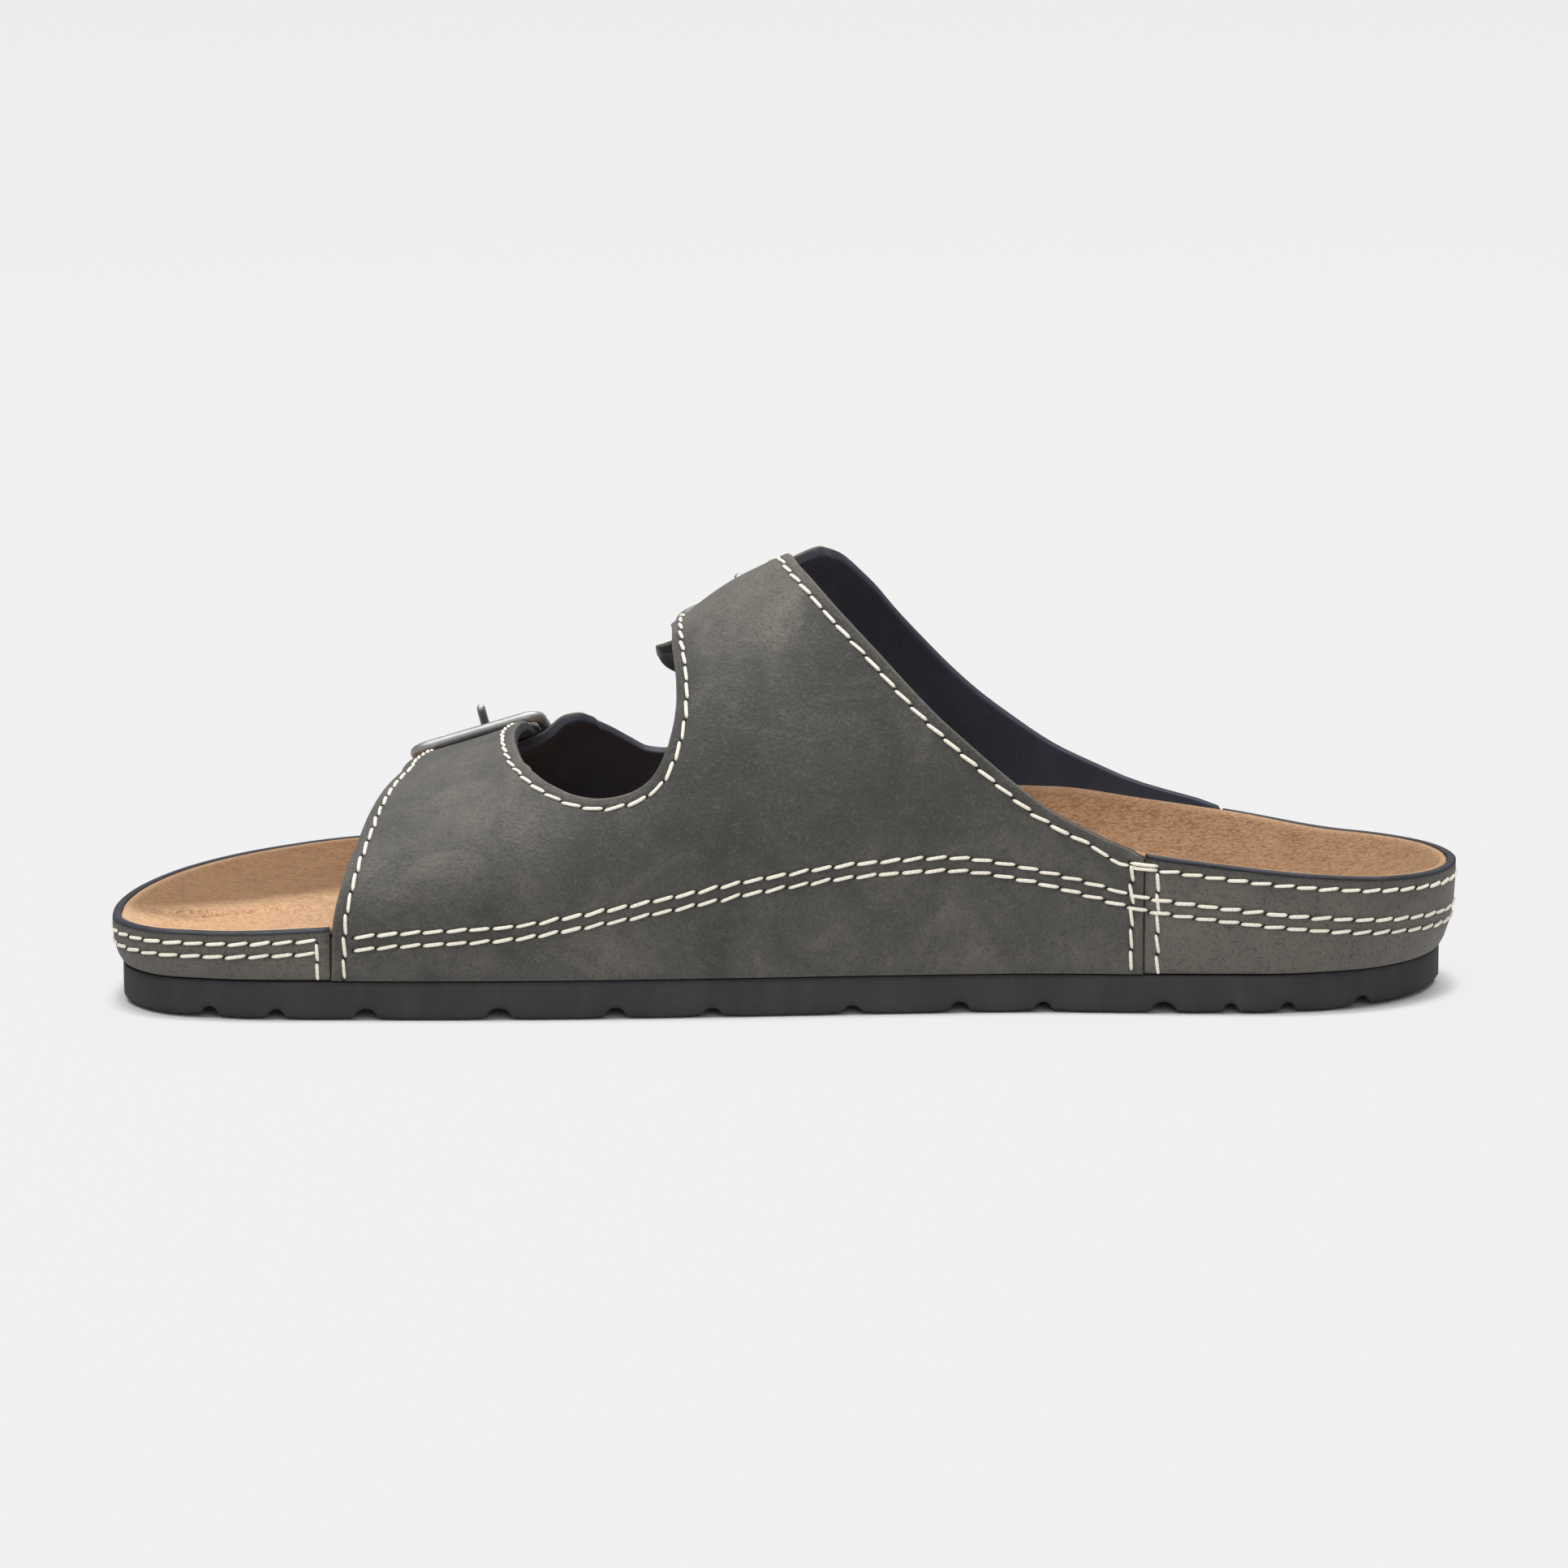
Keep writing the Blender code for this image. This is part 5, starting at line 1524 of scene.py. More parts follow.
    def _build_prong(self, shop: Workshop) -> None:
        """The pin: an eye hooked round the pivot bar and a straight shank with a rounded tip.

        Args:
            shop: Where the pieces are made.
        """
        reach = self.pivot_radius + self.eye_gap + self.prong_eye
        angle = np.radians(np.linspace(*self.hook_turn, 24))
        hook = self.pivot + np.outer(reach * np.sin(angle), self.down)
        hook = hook + np.outer(reach * np.cos(angle), self.out)
        rise = self.bar_radius + self.gap + self.prong_radius + self.strap.prong_rise
        tip = self.bar + self.bar_out * rise + self.bar_across * self.strap.prong_lean
        share = np.concatenate([np.linspace(0.08, 0.94, 18), [0.965, 0.985, 0.995, 1.0]])
        shank = hook[-1] + np.outer(share, tip - hook[-1])
        round_tip = np.array([0.97, 0.86, 0.66, 0.3])
        thick = np.concatenate([np.interp(share[:18], [0.08, 0.25, 1], [0.72, 1, 1]), round_tip])
        radii = np.concatenate([np.full(len(hook), self.prong_eye), self.prong_radius * thick])
        path = np.vstack([hook, shank])
        reference = np.broadcast_to(self.across, path.shape)
        points, groups = tube(path, reference, radii, 14, False)
        shop.piece(f"buckle_pin_{self.strap.name}", points, groups, [Finish.METAL] * len(groups),
                   replaces=[f"buckle_prong_{self.strap.name}"], slot="gunmetal")


@dataclass(frozen=True)
class Cut:
    """The cut of one half of the upper, as shares of the way to the crown and x there."""

    front: Table
    notch_front: Table
    notch_rear: Table
    rear: Table
    notch: Table


MEDIAL_CUT = Cut(
    front=((0, -93.4), (0.16, -93.0), (0.45, -90.6), (0.57, -88.8), (0.73, -86.8), (0.90, -83.9),
           (1.0, -81.2)),
    notch_front=((0, -56.0), (0.696, -52.7), (0.757, -54.5), (0.833, -55.8), (0.952, -57.0), (1.0, -57.2)),
    notch_rear=((0, -26.0), (0.546, -24.1), (0.571, -23.5), (0.611, -22.8), (0.656, -22.5), (0.704, -22.6),
                (0.778, -23.1), (0.853, -23.6), (1.0, -23.8)),
    rear=((0, 74.4), (0.182, 74.4), (0.192, 73.6), (0.199, 71.9), (0.209, 69.3), (0.220, 66.8), (0.233, 64.3),
          (0.275, 55.9), (0.332, 47.5), (0.396, 39.1), (0.465, 30.8), (0.55, 22.4), (0.652, 14.1),
          (0.717, 9.9), (0.80, 5.9), (0.90, 2.6), (1.0, 1.2)),
    notch=((-52.7, 0.696), (-49.5, 0.620), (-47.0, 0.578), (-44.0, 0.537), (-40.9, 0.508), (-37.3, 0.486),
           (-34.3, 0.476), (-31.3, 0.472), (-28.9, 0.477), (-26.9, 0.491), (-25.7, 0.508), (-24.6, 0.531),
           (-24.1, 0.546)),
)
LATERAL_CUT = Cut(
    front=((0, -88.5), (0.16, -88.2), (0.35, -86.5), (0.50, -84.0), (0.70, -82.0)),
    notch_front=((0, -46.0), (0.54, -41.0), (0.60, -43.0), (0.66, -44.0), (0.72, -45.0)),
    notch_rear=((0, -14.0), (0.44, -16.8), (0.55, -20.2), (0.62, -24.6), (0.68, -26.9), (0.75, -28.1),
                (0.84, -28.3), (0.93, -28.3)),
    rear=((0, 95.0), (0.15, 95.0), (0.158, 94.5), (0.167, 92.5), (0.183, 85.1), (0.203, 76.4), (0.234, 67.6),
          (0.27, 58.8), (0.32, 50.0), (0.38, 41.2), (0.457, 32.5), (0.555, 23.8), (0.616, 19.8), (0.68, 15.9),
          (0.764, 11.8), (0.84, 8.3), (0.93, 5.8)),
    notch=((-41.0, 0.54), (-38.2, 0.488), (-33.9, 0.417), (-29.5, 0.363), (-24.5, 0.343), (-20.0, 0.355),
           (-17.8, 0.39), (-16.8, 0.44)),
)
HOLE_PAST = (-7.6, -2.2)
HOLE_SHARE = (0.42, 0.58)


@dataclass
class Panel:
    """One half of the upper as a grid: a side panel with two strips standing on it."""

    last: Last
    cut: Cut
    edge_radius: float = 0.5
    lining_radius: float = 0.45
    rows: Array = field(init=False)
    strip: Array = field(init=False)
    gap: Array = field(init=False)

    def __post_init__(self) -> None:
        """Sets out the shares of the rows, of the columns across a strip and of those between the strips."""
        self.rows = np.concatenate([np.linspace(0, 0.93, 34), [0.955, 0.975, 0.988, 0.996, 1.0]])
        self.strip = np.unique(np.concatenate([graded(STRAP_WIDTH, 1.5), HOLE_SHARE]))
        self.gap = np.linspace(0, 1, 24)[1:-1]

    def grid(self, tops: tuple[Array, Array]) -> tuple[Array, Array, Array]:
        """Shares and x of the grid, and which cells exist.

        Below the notch's foot all columns share the panel's rows, each scaled to the foot's own share.

        Args:
            tops: Shares of the rows above the notch on the front and the rear strip.

        Returns:
            Shares, x and the mask of cells.
        """
        cut = self.cut
        corner_front, corner_rear = cut.notch[0][1], cut.notch[-1][1]
        shares, places = [], []
        for low, high, corner, rows in ((cut.front, cut.notch_front, corner_front, tops[0]),
                                        (cut.notch_rear, cut.rear, corner_rear, tops[1])):
            share = np.concatenate([self.rows * corner, rows])[:, None]
            left, right = curve(share, low), curve(share, high)
            shares.append(np.broadcast_to(share, (len(share), self.strip.size)))
            places.append(left + (right - left) * self.strip[None, :])
        fraction = self.rows[:, None]
        left = curve(fraction * corner_front, cut.notch_front)
        right = curve(fraction * corner_rear, cut.notch_rear)
        foot_x = cut.notch[0][0] + (cut.notch[-1][0] - cut.notch[0][0]) * self.gap
        filler = np.zeros((len(tops[0]), self.gap.size))
        middle_share = np.vstack([fraction * curve(foot_x, cut.notch)[None, :], filler])
        middle_x = np.vstack([left + (right - left) * self.gap[None, :], filler])
        share = np.hstack([shares[0], middle_share, shares[1]])
        x = np.hstack([places[0], middle_x, places[1]])
        keep = np.ones((share.shape[0] - 1, share.shape[1] - 1), bool)
        keep[len(self.rows) - 1 :, self.between] = False
        return share, x, keep

    @property
    def between(self) -> slice:
        """Columns of cells between the two strips."""
        return slice(self.strip.size - 1, -self.strip.size + 1)

    @property
    def strips(self) -> tuple[slice, slice]:
        """Columns of the front and the rear strip."""
        return slice(0, self.strip.size), slice(-self.strip.size, None)

    def finish(self, shop: Workshop, name: str, outer: Array, inner: Array, keep: Array, node: str,
               flip: bool) -> None:
        """Rounds the cut edges, marks distances and makes the piece.

        Args:
            shop: Where it is made.
            name: The piece's name.
            outer: Outer grid of points.
            inner: Inner grid of points.
            keep: Which cells exist.
            node: The CAD node that it replaces.
            flip: Whether the grids run the other way round.
        """
        if flip:
            outer, inner, keep = outer[:, ::-1], inner[:, ::-1], keep[:, ::-1]
        faces = wall_faces(keep)
        spread, under = outer.reshape(-1, 3), inner.reshape(-1, 3)
        border = np.unique(faces[2][:, :2])
        border = border[border >= keep.shape[1] + 1]
        distance = nearest(spread, spread[border])
        through = unit(spread - under)
        spread = spread - through * edge_round(distance, self.edge_radius)[:, None]
        under = under + through * edge_round(distance, self.lining_radius)[:, None]
        points = np.vstack([spread, under])
        edge = np.concatenate([distance, distance])
        marks = {"edge": edge, "row": edge - EDGE_INSET, "rise": self.last.row_rise(points, ROW_DROP),
                 "tone_and_light": leather_tone_and_light(points)}
        shop.piece(name, points, faces, UPPER_FINISHES, marks, [node], "leather")


def inset_trail(last: Last, x: Array, girth: Array,
                lift: Callable[[Array, Array], Array] | None = None) -> Trail:
    """A line that runs inside a cut edge, which it keeps on its left.

    Each point moves by the rows' inset along the cross product of the edge's direction and the normal, solved
    for x and girth by least squares on the form's two rates.

    Args:
        last: The form.
        x: The edge's x.
        girth: The edge's girth.
        lift: Height over the form from x and the share of the way to the crown, or None.

    Returns:
        The trail.
    """
    edge = last.bare(x, girth)
    ahead = unit(np.gradient(edge, axis=0))
    side = unit(np.cross(ahead, last.out(x, girth))) * EDGE_INSET
    a, b = last.along(x, girth), last.around(x, np.clip(girth, 0.01, 1.99))
    aa, ab, bb = (a * a).sum(-1), (a * b).sum(-1), (b * b).sum(-1)
    pa, pb = (a * side).sum(-1), (b * side).sum(-1)
    det = aa * bb - ab * ab
    x = x + (pa * bb - pb * ab) / det
    girth = np.clip(girth + (pb * aa - pa * ab) / det, 0.002, 1.998)
    height = lift(x, 2 - girth) if lift else np.zeros(len(x))
    return Trail(last.skin(x, girth, height), last.out(x, girth))


@dataclass
class MedialUpper:
    """Inner side panel with both long straps, over the foot, through the buckles and down the outer side."""

    last: Last
    buckles: tuple[Buckle, Buckle]
    row_corner: float = 4.5
    # distances past the pivot, for each strap
    spare_holes: Table = ((9.0,), (9.0, 16.5))
    # radius, height over the leather
    hole_rings: Table = ((1.35, -0.10), (1.2, 0.04), (0.5, 0.05))
    panel: Panel = field(init=False)

    def __post_init__(self) -> None:
        """Lays out the panel's grid."""
        self.panel = Panel(self.last, MEDIAL_CUT)

    def strap_face(self, buckle: Buckle, u: Array, past: Array, crown_x: Array, depth: float) -> Array:
        """The strap's face past the crown.

        It starts as wide as the panel and settles onto the buckle's straight line by a smooth step.

        Args:
            buckle: The strap's buckle.
            u: Shares across the strap.
            past: Distances past the pivot.
            crown_x: x at the crown for each share.
            depth: Depth below the outer face.

        Returns:
            Points.
        """
        girth = buckle.girth(past)
        wide = (2 * u - 1) * buckle.half_width(past)
        lift = buckle.face_lift(past) - depth
        settled = smooth_step((girth - 1) / (buckle.girth(-buckle.frame_depth - 3) - 1))[..., None]
        wide, lift, girth_all, crown = np.broadcast_arrays(wide, lift, girth, crown_x)
        narrow = buckle.place(wide, np.broadcast_to(past, wide.shape), lift)
        return self.last.skin(crown, girth_all, lift) * (1 - settled) + narrow * settled

    def past_rows(self, buckle: Buckle, start: float) -> Array:
        """Rows down a strap, a millimetre apart, with the pin's hole and the rounded end between them.

        Args:
            buckle: The strap's buckle.
            start: Distance of the first row.

        Returns:
            Distances past the pivot.
        """
        tail = buckle.strap.tail
        hole = np.linspace(HOLE_PAST[0], HOLE_PAST[1], 7)
        around = np.concatenate([
            [-20.0, -18.6, -17.2, -15.8, -14.4, -13.0, -11.6, -10.2, -8.9, -8.1, -7.8], hole,
            [-2.0, -1.6, -0.8, 0.2, 1.2, 2.2, 3.2, 4.2, 5.2, 6.4, 7.6, 8.8, 10.0, 11.2, 12.0]])
        before = np.linspace(start, around[0], 16)[:-1]
        end = tail - STRAP_ROUND
        after = np.linspace(around[-1], end, 12)[1:] if end > around[-1] else np.zeros(0)
        into = np.sin(np.linspace(0, math.pi / 2, 13)[1:])
        tip = tail - STRAP_ROUND + STRAP_ROUND * into
        rows = np.concatenate([before, around[around < end] if end <= around[-1] else around, after, tip])
        return self._same_count(rows, len(before))

    @staticmethod
    def _same_count(rows: Array, head: int, total: int = 80) -> Array:
        """The rows brought to one count for both straps, by dividing their widest steps.

        Args:
            rows: Rising distances.
            head: How many stay as they are.
            total: The count.

        Returns:
            The rows.
        """
        rows = list(rows)
        while len(rows) < total:
            step = np.diff(rows)
            step[:head] = 0
            at = int(np.argmax(step))
            rows.insert(at + 1, (rows[at] + rows[at + 1]) / 2)
        return np.array(rows[:total])

    def build(self, shop: Workshop) -> None:
        """Builds the panel and both straps as one wall.

        Args:
            shop: Where the pieces are made.
        """
        panel, last = self.panel, self.last
        rows = np.linspace(0, 1, 31)[1:]
        front, rear = (end + (1 - end) * rows for end in (MEDIAL_CUT.notch[0][1], MEDIAL_CUT.notch[-1][1]))
        share, x, keep = panel.grid((front, rear))
        outer, inner = last.skin(x, share), last.skin(x, share, np.full(x.shape, -last.wall))
        sheets: list[list[Array]] = [[], []]
        holes = []
        for buckle, columns in zip(self.buckles, panel.strips):
            start = -(buckle.strap.pivot - 1.008) * buckle.rate
            past = self.past_rows(buckle, start)[:, None]
            crown_x = x[-1, columns][None, :]
            for sheet, depth in zip(sheets, (0.0, last.wall)):
                sheet.append(self.strap_face(buckle, panel.strip[None, :], past, crown_x, depth))
            inside = (past[1:, 0] > HOLE_PAST[0] + 0.05) & (past[1:, 0] < HOLE_PAST[1] + 0.05)
            across = (panel.strip[1:] > HOLE_SHARE[0] + 1e-6) & (panel.strip[1:] < HOLE_SHARE[1] + 1e-6)
            holes.append(inside[:, None] & across[None, :])
        gap = np.zeros((len(sheets[0][0]), panel.gap.size, 3))
        outer = np.vstack([outer, np.hstack([sheets[0][0], gap, sheets[0][1]])])
        inner = np.vstack([inner, np.hstack([sheets[1][0], gap, sheets[1][1]])])
        strips = np.ones((len(gap), keep.shape[1]), bool)
        strips[:, panel.between] = False
        strips[1:, : panel.strip.size - 1] &= ~holes[0]
        strips[1:, -panel.strip.size + 1 :] &= ~holes[1]
        keep = np.vstack([keep, strips])
        panel.finish(shop, "upper_medial_leather", outer, inner, keep, "upper_medial", False)

    def strap_trail(self, buckle: Buckle, u: Array, past: Array, crown: tuple[float, float]) -> Trail:
        """A line on the strap's face, with normals from its neighbours.

        Args:
            buckle: The strap's buckle.
            u: Shares across the strap.
            past: Distances past the pivot.
            crown: x of the strap's two edges at the crown.

        Returns:
            The trail.
        """
        crown_x = crown[0] + (crown[1] - crown[0]) * u
        points = self.strap_face(buckle, u, past, crown_x, 0.0)
        across = self.strap_face(buckle, u + 0.02, past, crown_x + 0.02 * (crown[1] - crown[0]), 0.0) - points
        ahead = self.strap_face(buckle, u, past + 0.2, crown_x, 0.0) - points
        return Trail(points, unit(np.cross(across, ahead)))

    def edge_trail(self) -> Trail:
        """The row that follows the whole cut edge, from the front seam round both straps to the rear seam."""
        last, cut = self.last, MEDIAL_CUT
        up = np.linspace(0.004, 1.0, 60)
        low, high = cut.notch[0], cut.notch[-1]
        down = np.linspace(1.0, low[1], 30)
        foot = np.linspace(low[0], high[0], 40)[1:-1]
        rise = np.linspace(high[1], 1.0, 36)
        x = np.concatenate([curve(down, cut.notch_front), foot, curve(rise, cut.notch_rear)])
        girth = np.concatenate([down, curve(foot, cut.notch), rise])
        back = np.linspace(1.0, 0.004, 90)
        return Trail.joined([
            inset_trail(last, curve(up, cut.front), up),
            self._round_strap(self.buckles[0], (cut.front[-1][1], cut.notch_front[-1][1])),
            inset_trail(last, x, girth),
            self._round_strap(self.buckles[1], (cut.notch_rear[-1][1], cut.rear[-1][1])),
            inset_trail(last, curve(back, cut.rear), back),
        ])

    def _round_strap(self, buckle: Buckle, crown: tuple[float, float]) -> Trail:
        """Down one edge of the strap, round its end and back up the other.

        Args:
            buckle: The strap's buckle.
            crown: x of the strap's two edges at the crown.

        Returns:
            The trail.
        """
        start = -(buckle.strap.pivot - 1.02) * buckle.rate
        low = EDGE_INSET / STRAP_WIDTH
        end = buckle.strap.tail - EDGE_INSET
        corner = self.row_corner
        run = np.arange(start, end - corner, 1.0)
        turn = np.radians(np.linspace(0, 90, 10))
        swing = corner * (1 - np.cos(turn)) / STRAP_WIDTH
        bend = end - corner + corner * np.sin(turn)
        near = np.concatenate([np.full(len(run), low), low + swing])
        u = np.concatenate([near, 1 - near[::-1]])
        past = np.concatenate([run, bend, bend[::-1], run[::-1]])
        return self.strap_trail(buckle, u, past, crown)

    def punch(self, shop: Workshop) -> None:
        """Spare holes down the tails, as dark dished discs just over the leather, painted shade in place of
        real holes.

        Args:
            shop: Where the pieces are made.
        """
        turn = full_turn(16)
        points, groups, start = [], [], 0
        for buckle, spots in zip(self.buckles, self.spare_holes):
            for spot in spots:
                rings = []
                for radius, lift in self.hole_rings:
                    u = 0.5 + radius * np.cos(turn) / STRAP_WIDTH
                    trail = self.strap_trail(buckle, u, spot + radius * np.sin(turn), (0.0, 0.0))
                    rings.append(trail.points + trail.normals * lift)
                points.append(np.vstack(rings))
                number = start + np.arange(len(rings) * len(turn)).reshape(len(rings), -1)
                groups += [ring_faces(number).reshape(-1, 4), number[-1:], number[:1, ::-1]]
                start += number.size
        shop.piece("strap_punch_holes", np.vstack(points), groups, [Finish.NEEDLE] * len(groups))


@dataclass
class LateralUpper:
    """Outer side panel with two wide tongues that lie under the straps."""

    last: Last
    buckles: tuple[Buckle, Buckle]
    ease: float = 0.62
    panel: Panel = field(init=False)

    def __post_init__(self) -> None:
        """Lays out the panel's grid."""
        self.panel = Panel(self.last, LATERAL_CUT)

    def build(self, shop: Workshop) -> None:
        """Builds the panel, its tongues sunk below the form and rounded at their corners by quarter circles.

        Args:
            shop: Where the pieces are made.
        """
        panel, last = self.panel, self.last
        tops = []
        for buckle, corner in zip(self.buckles, (LATERAL_CUT.notch[0][1], LATERAL_CUT.notch[-1][1])):
            top = buckle.strap.tongue_top
            start = top - TONGUE_ROUND / buckle.rate
            body = np.linspace(corner, start, 19)[1:]
            tip = TONGUE_ROUND / buckle.rate * (1 - np.sin(np.linspace(0, math.pi / 2, 13)[1:]))
            tops.append(np.concatenate([body, top - tip]))
        share, x, keep = panel.grid((tops[0], tops[1]))
        for buckle, columns in zip(self.buckles, panel.strips):
            left, right = x[:, columns][:, :1].copy(), x[:, columns][:, -1:].copy()
            past = (buckle.strap.tongue_top - share[:, columns][:, :1]) * buckle.rate
            below = np.clip(past, 0, TONGUE_ROUND)
            inset = TONGUE_ROUND * (1 - np.sqrt(1 - (1 - below / TONGUE_ROUND) ** 2))
            x[:, columns] = left + inset + (right - left - 2 * inset) * panel.strip[None, :]
        sink = self.sink(x, share)
        outer, inner = last.skin(x, 2 - share, sink), last.skin(x, 2 - share, sink - last.wall)
        panel.finish(shop, "upper_lateral_leather", outer, inner, keep, "upper_lateral", True)

    def sink(self, x: Array, share: Array) -> Array:
        """Depth of the tongues: full under a strap, and eased by a smooth step beside it.

        Args:
            x: Places along the foot.
            share: Shares of the way to the crown.

        Returns:
            Depths, below zero.
        """
        beside = np.full(np.shape(x), 99.0)
        for buckle in self.buckles:
            middle = curve(2 - share, buckle.middle)
            spread = np.linalg.norm(self.last.along(middle, 2 - share), axis=-1)
            beside = np.minimum(beside, np.abs(x - middle) * spread - STRAP_WIDTH / 2)
        return tongue_sink(share) * (1 - self.ease * smooth_step((beside - 0.4) / 6.0))

    def edge_trail(self) -> list[Trail]:
        """Rows inside the cut edges: front edge, notch and rear edge."""
        cut = LATERAL_CUT
        front = np.linspace(0.62, 0.004, 50)
        back = np.linspace(0.004, 0.86, 90)
        low, high = cut.notch[0], cut.notch[-1]
        down = np.linspace(0.84, high[1], 34)
        foot = np.linspace(high[0], low[0], 40)[1:-1]
        rise = np.linspace(low[1], 0.62, 12)
        x = np.concatenate([curve(down, cut.notch_rear), foot, curve(rise, cut.notch_front)])
        share = np.concatenate([down, curve(foot, cut.notch), rise])
        lines = ((curve(front, cut.front), front), (x, share), (curve(back, cut.rear), back))
        return [inset_trail(self.last, along, 2 - up, self.sink) for along, up in lines]


@dataclass
class Seams:
    """All rows of stitches, set out from the seams between the pieces."""

    last: Last
    wall: Wall
    medial: MedialUpper
    lateral: LateralUpper
    clear: float = 4.6
    tack_depths: tuple[float, float] = (2.2, 3.1)
    tack_half: float = 3.2

    def sew(self, shop: Workshop) -> None:
        """Sews the rows on the bands, along the sole and inside the upper's edges.

        Args:
            shop: Where the pieces are made.
        """
        wall, hand = self.wall, Stitching(shop)
        front_in, rear_in = MEDIAL_CUT.front[0][1], MEDIAL_CUT.rear[0][1]
        front_out, rear_out = LATERAL_CUT.front[0][1], LATERAL_CUT.rear[0][1]
        toe = (wall.place(front_out - SEAM_ROW, True) - wall.run[-1], wall.place(front_in - SEAM_ROW, False))
        hand.sew("toe_rows", self._pair(*toe) + self._uprights(toe, lambda x: curve(x, ROW_DROP)))
        hand.sew("sole_rows", self._pair(wall.place(front_in + self.clear, False),
                                         wall.place(front_out + self.clear, True)))
        heel = (wall.place(rear_in + SEAM_ROW, False), wall.place(rear_out + SEAM_ROW, True))
        hand.sew("heel_rows", [self._level(*heel, HEEL_ROW), *self._uprights(heel, lambda x: HEEL_ROW)])
        hand.sew("upper_medial_edge", [self.medial.edge_trail()])
        hand.sew("upper_lateral_edge", self.lateral.edge_trail())
        middles = (wall.place(rear_in, False), wall.place(rear_out, True))
        hand.sew("seam_tacks", [self._level(middle - self.tack_half, middle + self.tack_half, depth)
                                for middle in middles for depth in self.tack_depths], pitch=6.4)

    def _pair(self, start: float, end: float) -> list[Trail]:
        """The two long rows from one distance along the wall to another."""
        return [self.wall.trail(start, end, lambda x, apart=apart: curve(x, ROW_DROP) + apart)
                for apart in (0.0, ROW_APART)]

    def _level(self, start: float, end: float, depth: float) -> Trail:
        """One row at a constant depth below the rim."""
        return self.wall.trail(start, end, lambda x: np.full(np.shape(x), depth))

    def _uprights(self, runs: Sequence[float], below: Callable[[float], float]) -> list[Trail]:
        """A row straight down the wall at each distance, from the depth below the rim that x gives.

        Args:
            runs: Distances along the wall.
            below: Depth of the upper end below the rim, from x.

        Returns:
            The rows.
        """
        rows = []
        for run in runs:
            spot, _, side = self.wall.at(np.array([run]))
            top = float(self.last.rim(spot[:, 0], side)[0] - below(spot[0, 0]))
            rows.append(self.wall.upright(run, top - 0.4, self.last.wrap_base))
        return rows


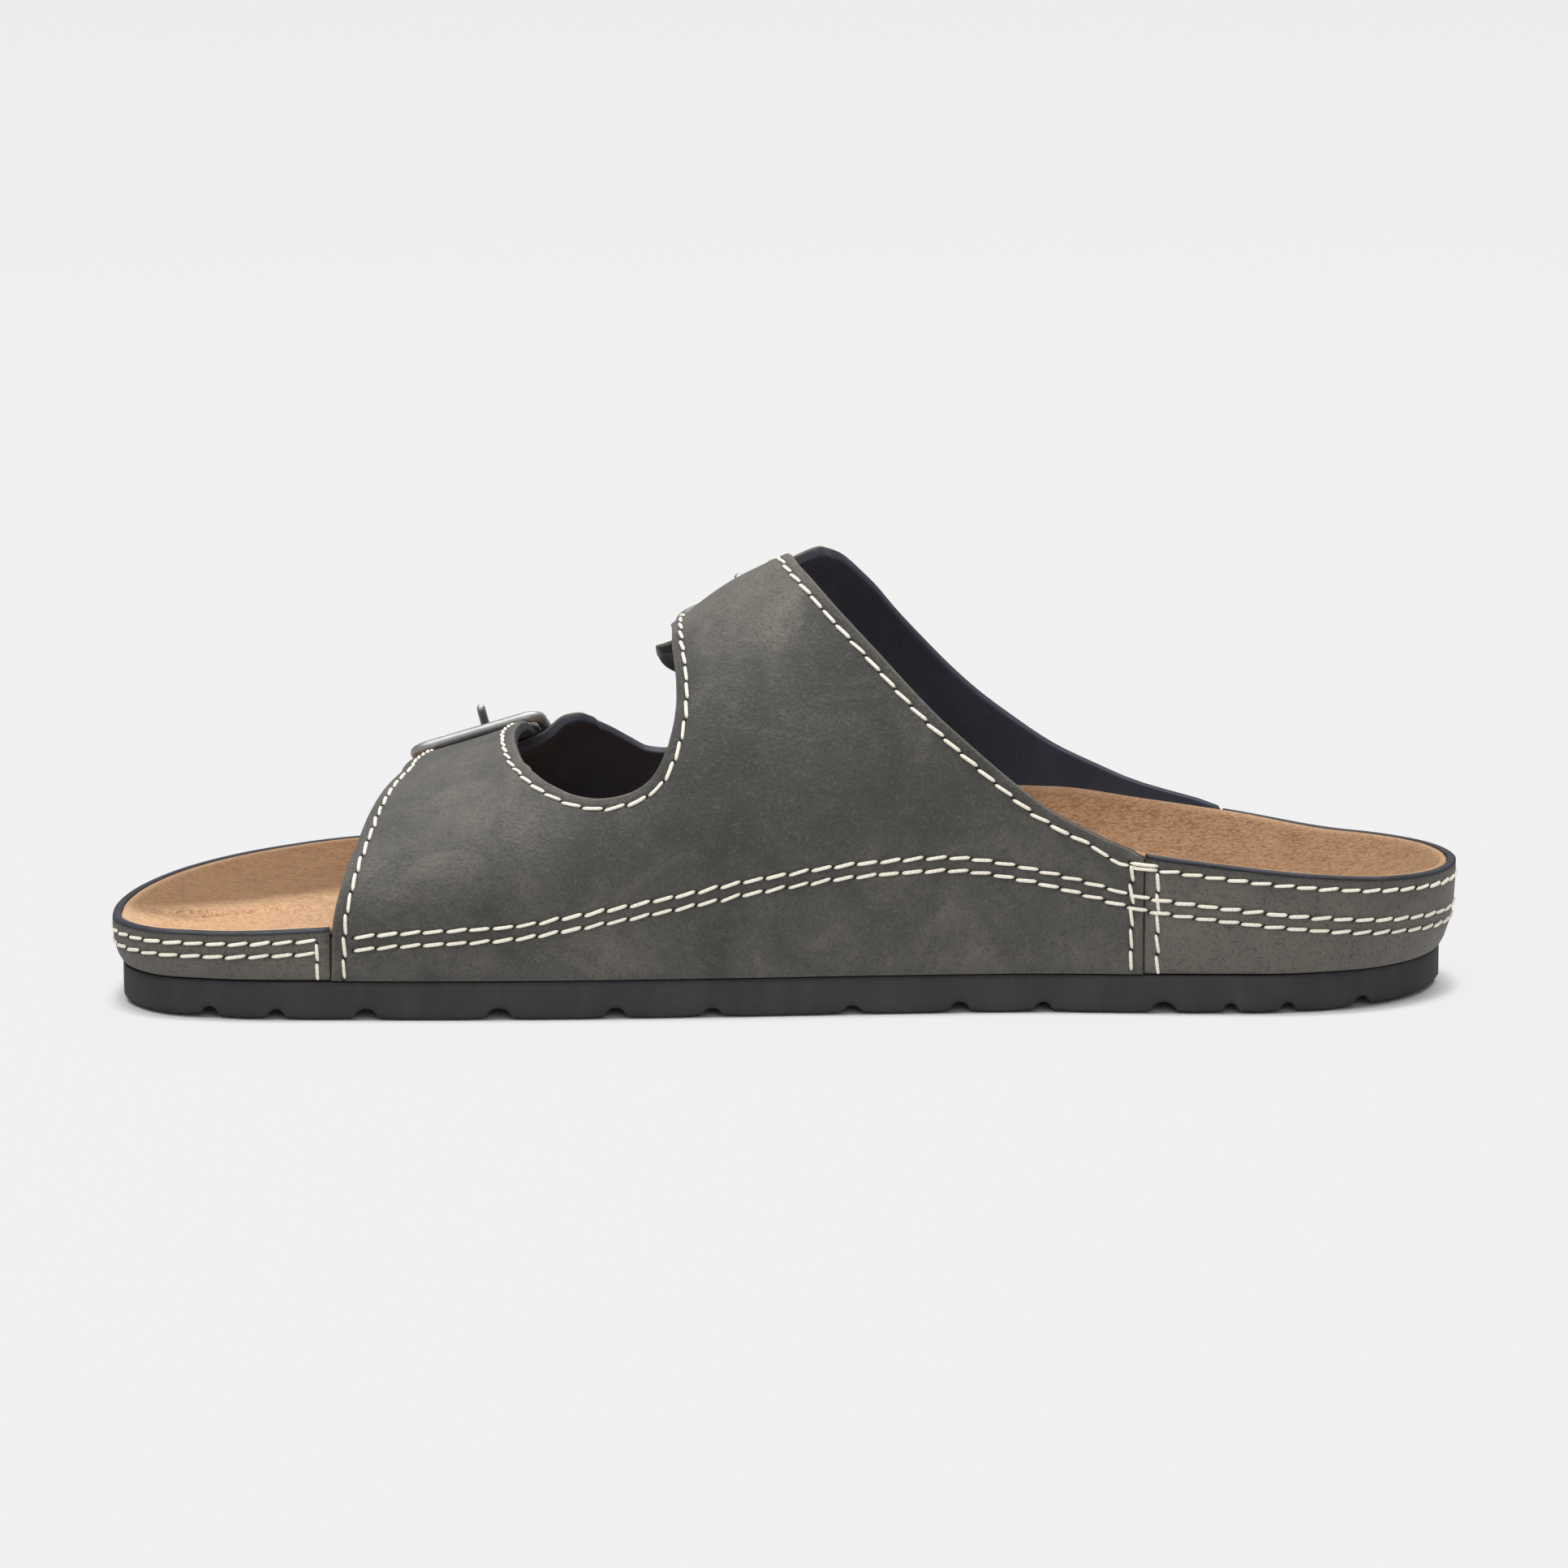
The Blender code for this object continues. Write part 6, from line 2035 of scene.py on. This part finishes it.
@dataclass(frozen=True)
class Studio:
    """Plain pale floor, soft light and the camera."""

    elevation: float = 10.5
    distance: float = 1.5
    target: tuple[float, float, float] = (0.0, -0.0265, 0.045)
    lens: float = 164.91
    table_glow: float = 0.83
    sky: float = 0.22
    # name, place and side in metres, watts, colour
    lights: tuple = (
        ("key_softbox", (-0.7, -0.5, 1.9), 1.3, 27.0, (1.0, 0.99, 0.975)),
        ("top_softbox", (0.35, 0.45, 2.1), 1.8, 48.0, (1.0, 1.0, 1.0)),
        ("front_softbox", (0.3, -2.3, 0.9), 1.8, 17.0, (1.0, 0.995, 0.985)),
    )

    def build(self, last: Last) -> None:
        """Makes the floor, the lights and the camera.

        Args:
            last: The form, for its outline.
        """
        scene = bpy.context.scene
        scene.view_settings.view_transform = "Standard"
        scene.world = bpy.data.worlds.new("studio")
        scene.world.use_nodes = True
        sky = scene.world.node_tree.nodes["Background"]
        sky.inputs["Color"].default_value = (1.0, 1.0, 1.0, 1.0)
        sky.inputs["Strength"].default_value = self.sky
        self._floor(last)
        for light in self.lights:
            self._light(*light)
        self._camera()

    def _floor(self, last: Last) -> None:
        """A wide flat light table, so that only a faint shadow falls on it.

        Rings follow the sole's outline outwards. The glow starts a few millimetres outside the sole and the
        floor under it is plain, so that the tread's grooves stay dark. The glow's fade towards the sole
        paints a faint contact shadow.

        Args:
            last: The form, for its outline.
        """
        outline = last.dense[::4]
        centre = outline.mean(0)
        reach = np.array([-6.0, -3.0, -1.0, 0.5, 2.0, 4.0, 9.0, 40.0, 400.0, 15000.0])
        away = unit(outline - centre)
        rings = outline[None] + away[None] * reach[:, None, None]
        points = np.concatenate([rings.reshape(-1, 2), centre[None]])
        number = np.arange(rings.shape[0] * rings.shape[1]).reshape(rings.shape[:2])
        inner = number[0]
        middle = np.full(len(inner), len(points) - 1)
        faces = ring_faces(number).reshape(-1, 4)[:, ::-1].tolist()
        faces += np.stack([middle, np.roll(inner, -1), inner], 1)[:, ::-1].tolist()
        flat = np.column_stack([points, np.zeros(len(points))]) * MM
        mesh = bpy.data.meshes.new("floor")
        mesh.from_pydata(flat.tolist(), [], faces)
        # painted contact shadow: the glow fades out over the last few millimetres towards the sole
        glow = np.repeat(smooth_step((reach + 1.5) / 4.5), rings.shape[1])
        layer = mesh.attributes.new("glow", "FLOAT", "POINT")
        layer.data.foreach_set("value", np.append(glow, 0).astype(np.float32))
        shade = Shade("studio_floor")
        mark = shade.mark("glow")
        pale = shade.mix((0.80, 0.80, 0.80), (0.03, 0.03, 0.03), mark)
        lit = shade.mix((0.0, 0.0, 0.0), (self.table_glow,) * 3, mark)
        mesh.materials.append(shade.finish(pale, 0.9, None, Emission_Color=lit, Emission_Strength=1.0,
                                           Specular_IOR_Level=0.0))
        floor = bpy.data.objects.new("floor", mesh)
        bpy.context.scene.collection.objects.link(floor)

    def _light(self, name: str, place: tuple[float, float, float], size: float, power: float,
               tint: Colour) -> None:
        """A square area light that faces the sandal.

        Args:
            name: Its name.
            place: Where it stands, in metres.
            size: Length of a side, in metres.
            power: Its power in watts.
            tint: Its colour.
        """
        data = bpy.data.lights.new(name, "AREA")
        data.size, data.energy, data.color = size, power, tint
        light = bpy.data.objects.new(name, data)
        light.location = place
        light.rotation_euler = (Vector(self.target) - Vector(place)).to_track_quat("-Z", "Y").to_euler()
        bpy.context.scene.collection.objects.link(light)

    def _camera(self) -> None:
        """The camera at the photo's angle."""
        data = bpy.data.cameras.new("camera")
        data.lens, data.sensor_width = self.lens, 36.0
        camera = bpy.data.objects.new("camera", data)
        tilt = math.radians(self.elevation)
        back = Vector((0, -math.cos(tilt), math.sin(tilt)))
        camera.location = Vector(self.target) + back * self.distance
        camera.rotation_euler = (-back).to_track_quat("-Z", "Y").to_euler()
        bpy.context.scene.collection.objects.link(camera)
        bpy.context.scene.camera = camera


def main() -> None:
    """Builds the sandal's looks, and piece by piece."""
    logging.basicConfig(level=logging.INFO, format="%(name)s: %(message)s")
    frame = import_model()
    shop = Workshop(make_finishes())
    last = Last()
    wall = Wall(last)
    buckles = (Buckle(last, FRONT_STRAP), Buckle(last, REAR_STRAP))
    Outsole(last).build(shop)
    Footbed(last).build(shop, frame["nodes"])
    toe = (wall.place(LATERAL_CUT.front[0][1] - SEAM_GAP, True) - wall.run[-1],
           wall.place(MEDIAL_CUT.front[0][1] - SEAM_GAP, False))
    heel = (wall.place(MEDIAL_CUT.rear[0][1] + SEAM_GAP, False),
            wall.place(LATERAL_CUT.rear[0][1] + SEAM_GAP, True))
    WrapBand(last, wall, "toe_band", *toe, dyed=0.6, top_row=False).build(shop)
    WrapBand(last, wall, "heel_band", *heel, dyed=0.2, top_row=True).build(shop)
    medial, lateral = MedialUpper(last, buckles), LateralUpper(last, buckles)
    medial.build(shop)
    medial.punch(shop)
    lateral.build(shop)
    for buckle in buckles:
        buckle.build(shop)
    Seams(last, wall, medial, lateral).sew(shop)
    Studio().build(last)
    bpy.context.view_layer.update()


if __name__ == "__main__":
    main()
